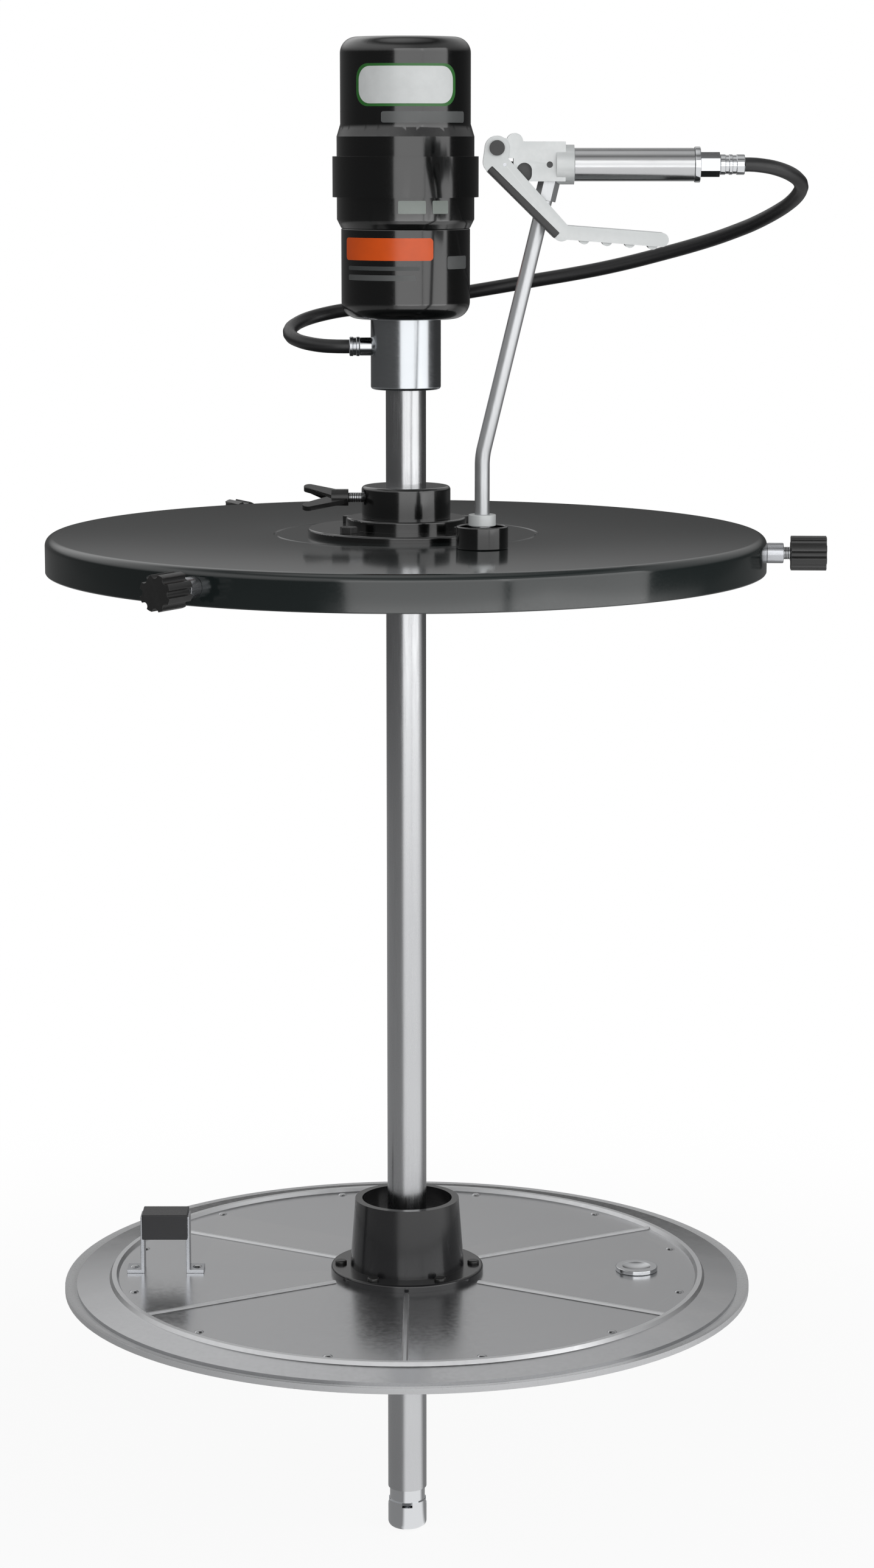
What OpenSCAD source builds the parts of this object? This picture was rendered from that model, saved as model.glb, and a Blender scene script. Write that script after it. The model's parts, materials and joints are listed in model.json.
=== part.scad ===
// Air-operated grease pump for an open drum: air motor, outlet housing and
// suction tube, drum cover with clamp screws, follower plate, and a
// lever-operated grease gun parked in a holder on the cover.
// Z is up. The origin is on the pump's axis, in the plane of the drum's rim,
// which is the underside of the cover's gasket. -Y is the front.

/* [Cover] */
// Outside diameter of the drum cover
cover_od = 600; // [570:5:660]
// Height of the cover's side
cover_h = 30; // [26:1:45]
// Sheet thickness of the cover
cover_t = 2; // [1.5:0.1:3]
// Outside radius of the bend between the top and the side
cover_bend_r = 7; // [5:0.5:9]
// Thickness of the gasket that seats on the drum's rim
gasket_t = 4; // [2:0.5:8]
// Width of the gasket
gasket_w = 26; // [12:1:40]
// Radius of the pressed groove round the hub
groove_r = 109; // [98:1:125]
// Width of the pressed groove
groove_w = 3; // [1:0.5:6]
// Depth of the pressed groove
groove_d = 0.6; // [0.2:0.1:1]

/* [Cover hub] */
// Radius of the hub's bolted flange
hub_flange_r = 82; // [76:1:90]
// Thickness of the hub's bolted flange
hub_flange_t = 5; // [3:0.5:10]
// Radius of the hub's step
hub_step_r = 50; // [44:1:52]
// Height of the hub's step
hub_step_h = 9; // [4:1:16]
// Radius of the hub's boss
hub_boss_r = 37; // [30:1:40]
// Height of the hub's boss above the step
hub_boss_h = 26; // [22:1:40]
// Radius of the rounding at the boss's top
hub_round_r = 3; // [1:0.5:5]
// Radius of the spigot that enters the cover
hub_spigot_r = 30; // [24:1:36]
// Pitch circle diameter of the hub's bolts
hub_pcd = 132; // [124:1:140]
// Number of hub bolts
hub_bolts_n = 4; // [3:1:8]
// Thread diameter of the hub's bolts
hub_bolt_d = 8; // [5:1:9]
// Width across flats of the hub's bolts and nuts
hub_bolt_af = 13; // [10:1:15]
// Height of the seal inside the hub
hub_seal_h = 5; // [3:0.5:8]
// Radial thickness of the seal inside the hub
hub_seal_w = 5; // [3:0.5:8]
// Height of the seal above the hub's step
hub_seal_z = 3; // [1:0.5:6]

/* [Hub clamp screw] */
// Thread diameter of the hub's clamp screw
clamp_d = 8; // [6:1:10]
// Height of the clamp screw's axis above the hub's step
clamp_z = 16; // [14:1:18]
// Length of the brass pad ahead of the clamp screw
clamp_pad_l = 6; // [4:0.5:10]
// Bare thread between the boss and the wing head
clamp_neck_l = 11; // [6:1:20]
// Radius of the wing head's middle
wing_hub_r = 7; // [5:0.5:9]
// Length of the wing head's middle
wing_hub_l = 14; // [8:1:20]
// Reach of each wing along the screw
wing_reach = 26; // [16:1:34]
// Sideways spread of each wing
wing_spread = 19; // [12:1:22]
// Thickness of the wings
wing_t = 4; // [2:0.5:6]
// Turn of the wings about the screw's axis
wing_turn = 72; // [0:1:180]

/* [Rim screws] */
// Number of screws round the rim is three; their turn about the axis
rim_turn = -2.5; // [-20:0.5:20]
// Thread diameter of the rim screws
rim_d = 10; // [6:1:12]
// Outside diameter of the welded threaded bosses
rim_boss_d = 17; // [15:1:20]
// Length of the welded threaded bosses
rim_boss_l = 14; // [8:1:24]
// Bare thread between a boss and its knob
rim_neck_l = 6; // [4:0.5:12]
// Diameter of the fluted knobs
rim_knob_d = 29; // [22:1:36]
// Length of the fluted knobs
rim_knob_l = 29.5; // [18:0.5:40]
// Number of flutes round each knob
rim_flutes = 8; // [6:1:28]
// Depth of each flute
rim_flute_d = 3; // [0.5:0.1:4]
// Length of the pads ahead of the rim screws
rim_pad_l = 6; // [5:0.5:10]
// How far a rim pad stands inside the cover's side at rest
rim_pad_out = 2; // [1:0.5:3]
// Depth of the rim screws' axis below the cover's top
rim_drop = 15; // [13:0.5:17]

/* [Gun holder] */
// Place of the holder to the right of the axis
holder_x = 62; // [55:1:80]
// Place of the holder in front of the axis
holder_y = 115; // [105:1:140]
// Outside diameter of the holder cup
holder_od = 42; // [38:1:50]
// Wall of the holder cup
holder_wall = 3; // [1.5:0.5:4]
// Height of the holder cup
holder_h = 18; // [14:1:40]
// Floor of the holder cup
holder_floor = 2; // [1:0.5:4]

/* [Air motor] */
// Height of the outlet housing's underside above the cover's top
pump_stand = 120; // [95:1:200]
// Radius of the motor's lower cylinder
motor_low_r = 53; // [50:0.5:58]
// Height of the motor's lower cylinder with its rounded foot
motor_low_h = 74; // [64:1:100]
// Radius of the rounding at the motor's foot
motor_foot_r = 14; // [6:1:20]
// Height of the taper above the lower cylinder
motor_taper_h = 7; // [3:1:12]
// Radius of the collars below and above the wide band
collar_r = 56.5; // [56:0.5:60]
// Height of the lower collar
low_collar_h = 18; // [12:1:26]
// Radius of the wide band
band_r = 60; // [58:0.5:66]
// Height of the wide band
band_h = 33; // [24:1:44]
// Height of the upper collar
top_collar_h = 16; // [10:1:24]
// Height of the sloping shoulder under the cap
shoulder_h = 10; // [5:1:16]
// Radius of the motor's cap
cap_r = 53.5; // [50:0.5:56]
// Height of the cap above the shoulder
cap_h = 70; // [62:1:90]
// Radius of the rounding at the cap's top
cap_round_r = 13; // [6:1:18]

/* [Inside the air motor] */
// Wall of the motor's air cylinder
cylinder_wall = 7; // [5:0.5:8]
// Thickness of the air cylinder's floor
cylinder_floor = 12; // [8:1:18]
// Radial step of the spigots inside the band
spigot_step = 3.5; // [3:0.5:4.5]
// Thickness of the air piston
piston_t = 14; // [10:1:20]
// Width of the air piston's seal
piston_seal_t = 5; // [3:0.5:6]
// Depth of the groove for the air piston's seal
piston_seal_d = 4; // [2:0.5:6]
// Radial gap between the air piston and its cylinder
piston_gap = 1; // [0.5:0.1:1.5]
// Clearance below the air piston at the bottom of its stroke
piston_rest_gap = 1; // [0.5:0.1:2]
// Diameter of the air valve's spool
spool_d = 24; // [18:1:28]
// Length of the air valve's spool
spool_l = 50; // [40:1:56]
// Radius of the spool's waist
spool_waist_r = 8; // [6:0.5:8]
// Travel of the air valve's spool
spool_travel = 8; // [4:1:10]
// Height of the spool's lower end above the cap's underside
spool_lift = 18; // [12:1:20]
// Thickness of the ring that keeps the spool in its bore
spool_ring_t = 2; // [1:0.5:3]
// Hole radius of the ring that keeps the spool in its bore
spool_ring_r = 8; // [5:0.5:9]
// Height of the air inlet's axis above the cap's underside
inlet_z = 60; // [50:1:64]
// Width across flats of the air inlet fitting
inlet_af = 22; // [19:1:26]
// Length of the air inlet fitting outside the cap
inlet_l = 16; // [12:1:24]
// Bore radius of the air inlet's thread
inlet_r = 5.9; // [4:0.1:7]
// Depth of the air inlet's thread
inlet_depth = 12; // [8:1:14]
// Radius of the air inlet's stem in the cap
inlet_stem_r = 8; // [7.5:0.1:9]
// Depth of the air inlet's stem in the cap
inlet_stem_l = 12; // [8:1:16]
// Radius of the exhaust muffler
muffler_r = 9; // [7:0.5:12]
// Length of the exhaust muffler outside the band
muffler_l = 10; // [6:1:16]

/* [Outlet housing] */
// Radius of the outlet housing
housing_r = 29; // [26:0.5:34]
// Height of the outlet housing
housing_h = 58; // [54:1:80]
// Rounding at the housing's lower edge
housing_round_r = 2.5; // [1:0.5:4]
// Depth of the socket for the suction tube
socket_d = 15; // [10:1:20]
// Height of the outlet's axis above the housing's underside
outlet_z = 35; // [30:1:36]
// Radius of the outlet's bore
outlet_bore_r = 3.5; // [2:0.5:4]
// Radius of the outlet fitting's stem
outlet_stem_r = 6; // [5:0.5:7]
// Radius of the outlet fitting's collar
outlet_collar_r = 7.5; // [7.5:0.5:10]
// Length of the outlet fitting outside the housing
outlet_l = 9; // [6:1:14]
// Height of the packing round the rod
packing_h = 14; // [10:1:16]
// Radius of the packing round the rod
packing_r = 15; // [12:0.5:18]

/* [Suction tube and foot] */
// Outside diameter of the suction tube
tube_od = 33.4; // [30:0.1:36]
// Inside diameter of the suction tube
tube_id = 26; // [24:0.5:27]
// Length of the suction tube below the housing
tube_l = 953; // [880:1:1100]
// Radius of the foot valve's neck
foot_neck_r = 15.2; // [14.6:0.1:16]
// Height of the foot valve's neck
foot_neck_h = 11; // [8:1:16]
// Radius of the foot valve's end
foot_r = 16.7; // [16:0.1:18]
// Height of the foot valve's end
foot_h = 25; // [22:1:40]
// Rounding at the foot's lower edge
foot_round_r = 5; // [2:0.5:6]
// Length of the foot valve's spigot in the tube
foot_spigot_l = 20; // [18:1:30]
// Wall of the foot valve round its ball
foot_wall = 3; // [2:0.5:3.5]
// Radius of the foot valve's inlet chamber
foot_inlet_r = 11; // [8:0.5:12]
// Diameter of the foot valve's ball
foot_ball_d = 16; // [14:0.5:17]
// Radius of the foot valve's seat
foot_seat_r = 5.5; // [4:0.5:6]
// Thickness of the foot valve's seat
foot_seat_t = 5; // [3:0.5:6]
// Width of the foot valve's side slots
foot_slot_w = 9; // [4:1:11]
// Height of the foot valve's side slots
foot_slot_h = 4; // [2:0.5:6]
// Number of the foot valve's side slots
foot_slots_n = 4; // [3:1:4]
// Lift of both check balls
ball_lift = 3; // [2:0.5:4]
// Diameter of the pin that stops a ball
cage_pin_d = 3; // [2:0.5:4]

/* [Piston rod] */
// Diameter of the piston rod
rod_d = 12; // [10:0.5:14]
// Length of the plunger
plunger_l = 40; // [36:1:60]
// Gap between plunger and foot valve at the bottom of the stroke
plunger_gap = 12; // [6:1:20]
// Length of the plunger's full-width land
plunger_land_l = 18; // [14:1:20]
// Radius of the plunger's neck
plunger_neck_r = 10; // [9.5:0.1:11]
// Diameter of the plunger's ball
plunger_ball_d = 12; // [10:0.5:13]
// Radius of the plunger's seat
plunger_seat_r = 4.5; // [3:0.5:5]
// Thickness of the plunger's seat
plunger_seat_t = 10; // [6:1:12]
// Radius of the plunger's ball chamber
plunger_chamber_r = 7.5; // [7:0.1:8]
// Radius of the plunger's cross holes
plunger_hole_r = 2.5; // [1.5:0.5:3]
// Depth of the rod's seat in the plunger
rod_seat_d = 10; // [6:1:12]

/* [Follower] */
// Depth of the follower plate's top below the cover's top
follower_drop = 638; // [300:1:760]
// Radius of the follower plate
follower_r = 284; // [276:1:288]
// Drop of the plate's edge outside its round bead
follower_slope = 4; // [2:0.5:6]
// Thickness of the follower plate
follower_t = 3; // [2:0.5:5]
// Radius of the plate's central hole
follower_hole_r = 28; // [22:1:36]
// Distance of the plate's round bead inside its edge
bead_inset = 32; // [28:1:44]
// Half width of the plate's round bead
bead_w = 4; // [2:0.5:6]
// Height of the plate's round bead
bead_h = 3; // [1:0.5:4]
// Number of the plate's radial ribs
ribs_n = 6; // [4:1:12]
// Width of the plate's radial ribs
rib_w = 5; // [3:0.5:8]
// Height of the plate's radial ribs
rib_h = 1.6; // [0.8:0.1:3]
// Reach of the rubber lip beyond the plate's edge
lip_reach = 10; // [2:1:14]
// Width of the rubber lip that lies under the plate
lip_hold = 56; // [54:1:62]
// Thickness of the rubber lip
lip_t = 5; // [3:0.5:8]
// Rise of the rubber lip's free edge
lip_rise = 2; // [1:0.5:4]
// Thickness of the ring that clamps the lip
clamp_ring_t = 2; // [1:0.5:4]
// Width of the ring that clamps the lip
clamp_ring_w = 22; // [16:1:26]
// Number of rivets through the lip
rivets_n = 12; // [6:1:24]
// Radius of the rivets
rivet_r = 2.5; // [1.5:0.5:3]

/* [Wiper hub] */
// Radius of the wiper hub's flange
wiper_flange_r = 65.5; // [62:0.5:72]
// Thickness of the wiper hub's flange
wiper_flange_t = 6; // [4:0.5:10]
// Radius of the wiper hub at its foot
wiper_low_r = 49; // [44:0.5:50]
// Radius of the wiper hub at its top
wiper_top_r = 44.5; // [40:0.5:48]
// Height of the wiper hub
wiper_h = 65; // [45:1:80]
// Depth of the hollow in the wiper hub's top
wiper_hollow_d = 12; // [6:1:18]
// Wall round the hollow in the wiper hub's top
wiper_wall = 6; // [4:0.5:10]
// Number of screws through the wiper hub's flange
wiper_screws_n = 6; // [4:1:8]
// Radius of the circle of these screws
wiper_screw_pcr = 57; // [55:0.5:58]
// Thread diameter of these screws
wiper_screw_d = 6; // [4:1:7]
// Head diameter of these screws
wiper_head_d = 10; // [8:0.5:11]
// Head height of these screws
wiper_head_h = 3; // [2:0.5:5]

/* [Follower handle] */
// Distance of the handle inside the plate's edge
handle_inset = 76; // [69:1:94]
// Height of the handle above the plate
handle_h = 53; // [45:1:70]
// Outside width of the handle's strap
handle_w = 42; // [38:1:50]
// Depth of the handle's strap, front to back
handle_d = 20; // [14:1:28]
// Thickness of the handle's strap
strap_t = 3; // [2:0.5:5]
// Length of each of the strap's feet
strap_foot_l = 12; // [10:1:16]
// Height of the moulded grip
grip_h = 22; // [16:1:26]
// Depth of the moulded grip, front to back
grip_d = 28; // [24:1:34]
// Wall of the grip beyond the strap
grip_wall = 3; // [2:0.5:5]
// Distance of the vent plug inside the plate's edge
vent_inset = 86; // [69:1:134]
// Radius of the vent plug's head
vent_r = 18; // [12:1:22]
// Thickness of the vent plug's head
vent_t = 4; // [3:0.5:6]
// Radius of the vent plug's stem
vent_stem_r = 8; // [5:0.5:10]
// Length of the vent plug's stem below the plate
vent_stem_l = 6; // [3:1:12]
// Depth of the dish in the vent plug's head
vent_dish_d = 2.5; // [1:0.5:2.5]

/* [Grease gun] */
// Height of the gun handle's axis above the cover's top
gun_z = 304; // [280:1:340]
// Place of the lever's pivot from the holder's axis
pivot_x = 11; // [9:0.5:13]
// Height of the lever's pivot above the handle's axis
pivot_z = 13; // [12.5:0.5:15]
// Left end of the gun's body from the holder's axis
body_x = 24; // [23:0.5:26]
// Right end of the gun's body from the holder's axis
body_end_x = 72; // [70:1:80]
// Height of the body above the handle's axis
body_up = 18; // [16:0.5:20]
// Depth of the body below the handle's axis
body_down = 13; // [12:0.5:16]
// Thickness of the gun's body, front to back
body_w = 24; // [20:1:28]
// Rounding at the body's corners
body_round_r = 3; // [1:0.5:5]
// Radius of the body's nose round the pivot
nose_r = 8.5; // [7:0.5:9]
// Radius of the lug on the body's top
lug_r = 6.5; // [4:0.5:8]
// Place of the lug from the holder's axis
lug_x = 25; // [24:0.5:28]
// Radius of the round inlet end of the body
inlet_end_r = 15.5; // [15:0.5:16]
// Length of the round inlet end of the body
inlet_end_l = 14; // [8:1:18]
// Half width of the oval pocket in the body's side
pocket_r = 6; // [4:0.5:6]
// Straight length of the oval pocket
pocket_l = 3; // [1:0.5:4]
// Depth of the oval pocket
pocket_d = 3; // [1:0.5:4]
// Place of the oval pocket from the holder's axis
pocket_x = 32.5; // [31:0.5:33]
// Place of the body's side dimple from the holder's axis
dimple_x = 52.5; // [50:0.5:54]
// Radius of the body's side dimple
dimple_r = 2.5; // [1:0.5:3]
// Depth of the body's side dimple
dimple_d = 0.8; // [0.5:0.1:1]
// Outside diameter of the gun's handle
gun_handle_d = 26; // [24:0.5:28]
// Length of the gun's handle
gun_handle_l = 95; // [80:1:120]
// Length of the handle's end ring
end_ring_l = 4.5; // [3:0.5:8]
// Radius of the handle's end ring
end_ring_r = 14; // [13.5:0.5:16]
// Length of the plug inside the handle's end
end_plug_l = 9; // [6:1:14]

/* [Gun valve] */
// Radius of the valve stem
stem_r = 2.5; // [2:0.1:3]
// Length of the stem outside the body
stem_out = 4.2; // [4.2:0.1:4.6]
// Radius of the poppet
poppet_r = 5; // [4.5:0.1:5.2]
// Length of the poppet
poppet_l = 5; // [3:0.5:6]
// Place of the valve's seat from the holder's axis
seat_x = 60; // [58:0.5:61]
// Thickness of the valve's seat
seat_t = 2; // [1:0.5:3]
// Radius of the hole through the valve's seat
seat_r = 3.5; // [3.2:0.1:4]
// Radius of the chamber behind the seat
chamber_r = 6; // [5.5:0.1:6.5]
// Length of the outlet cavity
cavity_l = 12; // [8:1:14]
// Radius of the outlet cavity
cavity_r = 5; // [4:0.1:5.5]
// Radius of the body's threaded spigot in the handle
spigot_r = 9; // [8.5:0.1:9.5]
// Length of the body's threaded spigot
spigot_l = 10; // [8:1:16]
// Thickness of the shoulder that holds the spring
spring_stop_t = 3; // [2:0.5:4]
// Outside radius of the valve spring
spring_r = 4.5; // [4:0.1:5]
// Wire of the valve spring
spring_wire = 1; // [0.6:0.1:1.4]

/* [Lever] */
// Distance of the lever's rounded nose below the pivot
knuckle_drop = 11; // [8:0.5:13]
// Shift of the lever's rounded nose to the left of the pivot
knuckle_shift = 1.5; // [0:0.5:3]
// Radius of the lever's rounded nose
knuckle_r = 9.5; // [8.5:0.5:10]
// Place of the lever's elbow from the holder's axis
elbow_x = 62; // [60:0.5:66]
// Depth of the lever's elbow below the handle's axis
elbow_z = 52.5; // [48:0.5:56]
// Half width of the lever's sloping arms
arm_r = 7.2; // [6:0.1:8]
// Thickness of each of the lever's arms
arm_t = 2.8; // [2:0.1:3.5]
// Gap between the body and each of the lever's arms
arm_gap = 0.8; // [0.5:0.1:1.2]
// Length of the lever's grip, elbow to tip
lever_grip_l = 79; // [70:1:90]
// Fall of the lever's grip from elbow to tip
lever_grip_fall = 6; // [2:0.5:8]
// Half thickness of the lever's grip
lever_grip_r = 5.5; // [4.5:0.1:6]
// Thickness of the web under the lever's grip
lever_web = 3; // [2:0.5:4]
// Number of finger ridges under the lever's grip
ridges_n = 4; // [2:1:4]
// Radius of the finger ridges
ridge_r = 4.2; // [3:0.1:4.5]
// Distance between the finger ridges
ridge_pitch = 18; // [14:1:19]
// Radius of the lever's pivot pin
pivot_r = 3; // [2:0.5:3.5]
// Radius of the pivot pin's head
pivot_head_r = 6; // [5:0.5:7]
// Thickness of the pivot pin's head
pivot_head_t = 3; // [2:0.5:4]
// Height of the notch for the roller above the handle's axis
notch_up = 5; // [3:0.5:6]
// Radius of the roller that presses the stem
roller_r = 2.5; // [2:0.1:2.5]
// Place of the roller from the holder's axis
roller_x = 17; // [16.8:0.1:17.2]

/* [Outlet tube] */
// Outside diameter of the outlet tube
pipe_d = 12; // [9:0.5:13]
// Bore of the outlet tube
pipe_bore = 7; // [4:0.5:8]
// Lean of the outlet tube from upright, in degrees
pipe_lean = 13.6; // [11:0.1:16]
// Radius of the outlet tube's bend
pipe_bend_r = 60; // [40:1:80]
// Place of the outlet port from the holder's axis
port_x = 52.5; // [51:0.5:54]
// Width across flats of the outlet tube's nut
pipe_nut_af = 15; // [14:0.5:17]
// Length of the outlet tube's nut
pipe_nut_l = 15; // [10:1:20]
// Radius of the coupler's collar
collar_nut_r = 11; // [9:0.5:12]
// Height of the coupler's collar
collar_nut_h = 9; // [6:0.5:12]
// Radius of the coupler
coupler_r = 9.5; // [8:0.5:10.5]
// Length of the coupler below its collar
coupler_l = 16; // [14:0.5:22]
// Bore radius of the coupler's mouth
mouth_r = 3.4; // [3:0.1:4]
// Depth of the coupler's mouth
mouth_d = 7; // [5:0.5:9]

/* [Hose] */
// Outside diameter of the hose
hose_d = 11.5; // [10:0.5:13]
// Width across flats of the swivel nut
swivel_af = 17; // [17:1:22]
// Length of the swivel nut
swivel_l = 15.2; // [10:0.2:20]
// Radius of the swivel's spigot
swivel_r = 6; // [5:0.5:7]
// Length of the swivel's spigot
swivel_spigot_l = 11; // [6:1:14]
// Radius of the hose ferrules
ferrule_r = 8; // [7.5:0.1:9]
// Length of the ferrule at the gun
gun_ferrule_l = 19; // [12:0.5:24]
// Length of the ferrule at the pump
pump_ferrule_l = 8; // [6:0.5:14]

/* [Labels] */
// Thickness of the printed labels
label_t = 0.3; // [0.2:0.1:0.6]
// Half angle of the pale label on the cap
top_label_a = 44; // [20:1:60]
// Height of the pale label on the cap
top_label_h = 30; // [16:1:40]
// Distance of the pale label below the cap's top
top_label_drop = 24; // [20:1:30]
// Half angle of the orange label on the lower cylinder
low_label_a = 44; // [20:1:60]
// Turn of the orange label to the left, in degrees
low_label_turn = 19; // [0:1:40]
// Height of the orange label
low_label_h = 18; // [10:1:24]
// Distance of the orange label above the motor's foot
low_label_z = 48; // [40:1:50]

/* [Fits] */
// Radial clearance of shafts and screws that turn or slide
run_gap = 0.05; // [0.02:0.01:0.09]
// Radial clearance of pieces of one body that fit into each other
seat_gap = 0.1; // [0.05:0.05:0.2]
// Gap between pieces of different bodies that rest on each other
rest_gap = 0.3; // [0.2:0.05:0.4]

/* [Hidden] */
$fn = 96;

// One overrun for every cut
cut = 1;
// How far a bar's straight sides are set in from its round ends
bar_inset = 0.02;
// Head radius of a rivet over its shank's
rivet_head = 1.7;
// Sides of a hexagon
hex = 6;
// Number of rim screws
rim_n = 3;

// Colours as the photograph shows them
black_paint = [0.06, 0.07, 0.07];
cover_paint = [0.13, 0.15, 0.15];
rubber_black = [0.08, 0.08, 0.08];
bright_steel = [0.78, 0.79, 0.80];
satin_steel = [0.62, 0.63, 0.64];
plate_grey = [0.60, 0.60, 0.61];
lip_grey = [0.52, 0.52, 0.53];
pale_cast = [0.72, 0.74, 0.74];
brass = [0.75, 0.60, 0.30];
label_pale = [0.86, 0.88, 0.86];
label_orange = [0.85, 0.32, 0.08];

// Cover
cover_r = cover_od / 2;
cover_top = gasket_t + cover_t;
cover_foot = cover_top - cover_h;
gasket_r = cover_r - cover_t - seat_gap;
hub_base = cover_top;
hub_step_z = hub_base + hub_flange_t;
hub_boss_z = hub_step_z + hub_step_h;
hub_top = hub_boss_z + hub_boss_h;
tube_r = tube_od / 2;
hub_bolt_r = hub_bolt_d / 2;
hub_head_h = hub_bolt_d * 0.65;
clamp_axis_z = hub_boss_z + clamp_z;
clamp_r = clamp_d / 2;
clamp_pad_x = tube_r + rest_gap;
clamp_tip_x = clamp_pad_x + clamp_pad_l + seat_gap;
wing_x = hub_boss_r + clamp_neck_l;
rim_r = rim_d / 2;
rim_z = cover_top - rim_drop;
rim_pad_start = -cover_t - rim_pad_out;
rim_tip = rim_pad_start + rim_pad_l + seat_gap;
rim_knob_start = rim_boss_l + rim_neck_l;

// Motor
housing_z = cover_top + pump_stand;
motor_z = housing_z + housing_h;
taper_z = motor_z + motor_low_h;
low_collar_z = taper_z + motor_taper_h;
band_z = low_collar_z + low_collar_h;
top_collar_z = band_z + band_h;
shoulder_z = top_collar_z + top_collar_h;
cap_z = shoulder_z + shoulder_h;
motor_top = cap_z + cap_h;
spigot_out_r = motor_low_r - spigot_step;
split_z = band_z + band_h / 2;
bore_r = motor_low_r - cylinder_wall;
cylinder_z = motor_z + cylinder_floor;
piston_z = cylinder_z + piston_rest_gap;
piston_r = bore_r - piston_gap;
piston_seal_z = piston_z + (piston_t - piston_seal_t) / 2;
spool_r = spool_d / 2;
spool_z = split_z + spool_lift;
inlet_axis_z = split_z + inlet_z;
muffler_z = band_z + band_h / 2;

// Pump
outlet_axis_z = housing_z + outlet_z;
packing_z = motor_z - packing_h;
tube_foot = housing_z - tube_l;
rod_r = rod_d / 2;
tube_in_r = tube_id / 2;
foot_bulge_z = tube_foot - foot_neck_h;
foot_end = foot_bulge_z - foot_h;
foot_top = tube_foot + foot_spigot_l;
foot_seat_z = foot_bulge_z + cage_pin_d / 2;
foot_seat_top = foot_seat_z + foot_seat_t;
foot_ball_r = foot_ball_d / 2;
foot_ball_z = foot_seat_top + sqrt(foot_ball_r * foot_ball_r - foot_seat_r * foot_seat_r) + run_gap;
foot_pin_z = foot_ball_z + foot_ball_r + ball_lift + rest_gap + cage_pin_d / 2;
foot_spigot_top = foot_pin_z + cage_pin_d;
plunger_z = foot_spigot_top + plunger_gap;
plunger_r = tube_in_r - run_gap;
plunger_ball_r = plunger_ball_d / 2;
plunger_seat_top = plunger_z + plunger_seat_t;
plunger_ball_z = plunger_seat_top + sqrt(plunger_ball_r * plunger_ball_r - plunger_seat_r * plunger_seat_r) + run_gap;
plunger_chamber_top = plunger_ball_z + plunger_ball_r + ball_lift + rest_gap;
plunger_top = plunger_z + plunger_l;
rod_foot = plunger_top - rod_seat_d;
rod_top = piston_z + piston_t;

// Follower
follower_z = cover_top - follower_drop;
follower_low = follower_z - follower_t;
bead_r = follower_r - bead_inset;
bead_out_r = bead_r + bead_w;
lip_r = follower_r + lip_reach;
lip_in_r = follower_r - lip_hold;
handle_x = follower_r - handle_inset;
vent_x = follower_r - vent_inset;
lip_z = follower_low - lip_t;
ring_z = lip_z - clamp_ring_t;
ring_mid_r = lip_in_r + clamp_ring_w / 2;
wiper_top = follower_z + wiper_h;
wiper_screw_r = wiper_screw_d / 2;
grip_top = follower_z + handle_h;
strap_top = grip_top - grip_wall;
strap_half = handle_w / 2;
rib_r = rib_w / 2;

// Gun, in a plane in front of the pump's axis; x from the holder's axis and z from the handle's axis
gun_axis_z = cover_top + gun_z;
half_body = body_w / 2;
arm_in = half_body + arm_gap;
arm_out = arm_in + arm_t;
handle_start = body_end_x;
handle_stop = handle_start + gun_handle_l;
end_stop = handle_stop + end_ring_l;
swivel_start = end_stop + rest_gap;
swivel_stop = swivel_start + swivel_l;
ferrule_stop = swivel_stop + gun_ferrule_l;
spring_stop_x = body_end_x + spigot_l - spring_stop_t;
stem_tip = body_x - stem_out;
poppet_x = seat_x + run_gap;
spring_x = poppet_x + poppet_l + seat_gap;
spigot_fit_r = spigot_r + seat_gap;
pipe_r = pipe_d / 2;
pipe_bore_r = pipe_bore / 2;
port_z = -body_down;
bend_z = port_z - port_x / tan(pipe_lean);
bend_leg = pipe_bend_r * tan(pipe_lean / 2);
pipe_run = port_x / sin(pipe_lean);
coupler_z = cover_top + holder_floor + rest_gap;
collar_z = coupler_z + coupler_l;
pipe_foot_z = collar_z + collar_nut_h;
fitting_start = housing_r;
fitting_stop = housing_r + outlet_l;
pump_ferrule_stop = fitting_stop + pump_ferrule_l;

// The hose's way, from the ferrule at the pump round the motor's back to the ferrule at the gun
hose_points = [
    [-46.4, 0, 161], [-56.2, 0.5, 161], [-68.5, 3.9, 161.4], [-79.4, 10.3, 162.6], [-88.2, 19.3, 164.3],
    [-94.5, 30.3, 166.6], [-97.6, 42.6, 169.4], [-97.5, 55.2, 172.5], [-94.1, 67.5, 175.6], [-87.7, 78.4, 178.7],
    [-78.7, 87.2, 181.5], [-67.7, 93.5, 184], [-55.4, 96.6, 186.2], [-36, 98.3, 188.6], [-10, 98.9, 192.2],
    [12, 97.6, 195.3], [35, 95.2, 199], [58, 92, 203], [84.5, 87.9, 207.6], [110.9, 83.6, 212.5],
    [137.3, 78.8, 217.1], [163.5, 73.2, 222.2], [189.1, 66.3, 228.2], [214.1, 57.8, 235], [238, 47, 242],
    [260.4, 33.5, 249.6], [280.4, 17, 257.9], [289.4, 7.2, 262.4], [297.4, -3.6, 267.1], [304.3, -15.2, 271.8],
    [310, -27.6, 276.4], [314.2, -40.7, 281], [317, -54.2, 285.8], [318.2, -67.2, 290.8], [316.3, -80.4, 295.5],
    [310.9, -92.5, 300.2], [302.4, -102.7, 304.4], [290.6, -110.5, 307.9], [277.1, -114.5, 309.8], [268.4, -115, 310]
];
hose_sides = 10;
// Sides of the outlet tube, and steps of its bend
pipe_sides = 32;
pipe_bend_steps = 5;

// Unit vector along v
function unit(v) = v / norm(v);
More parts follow.
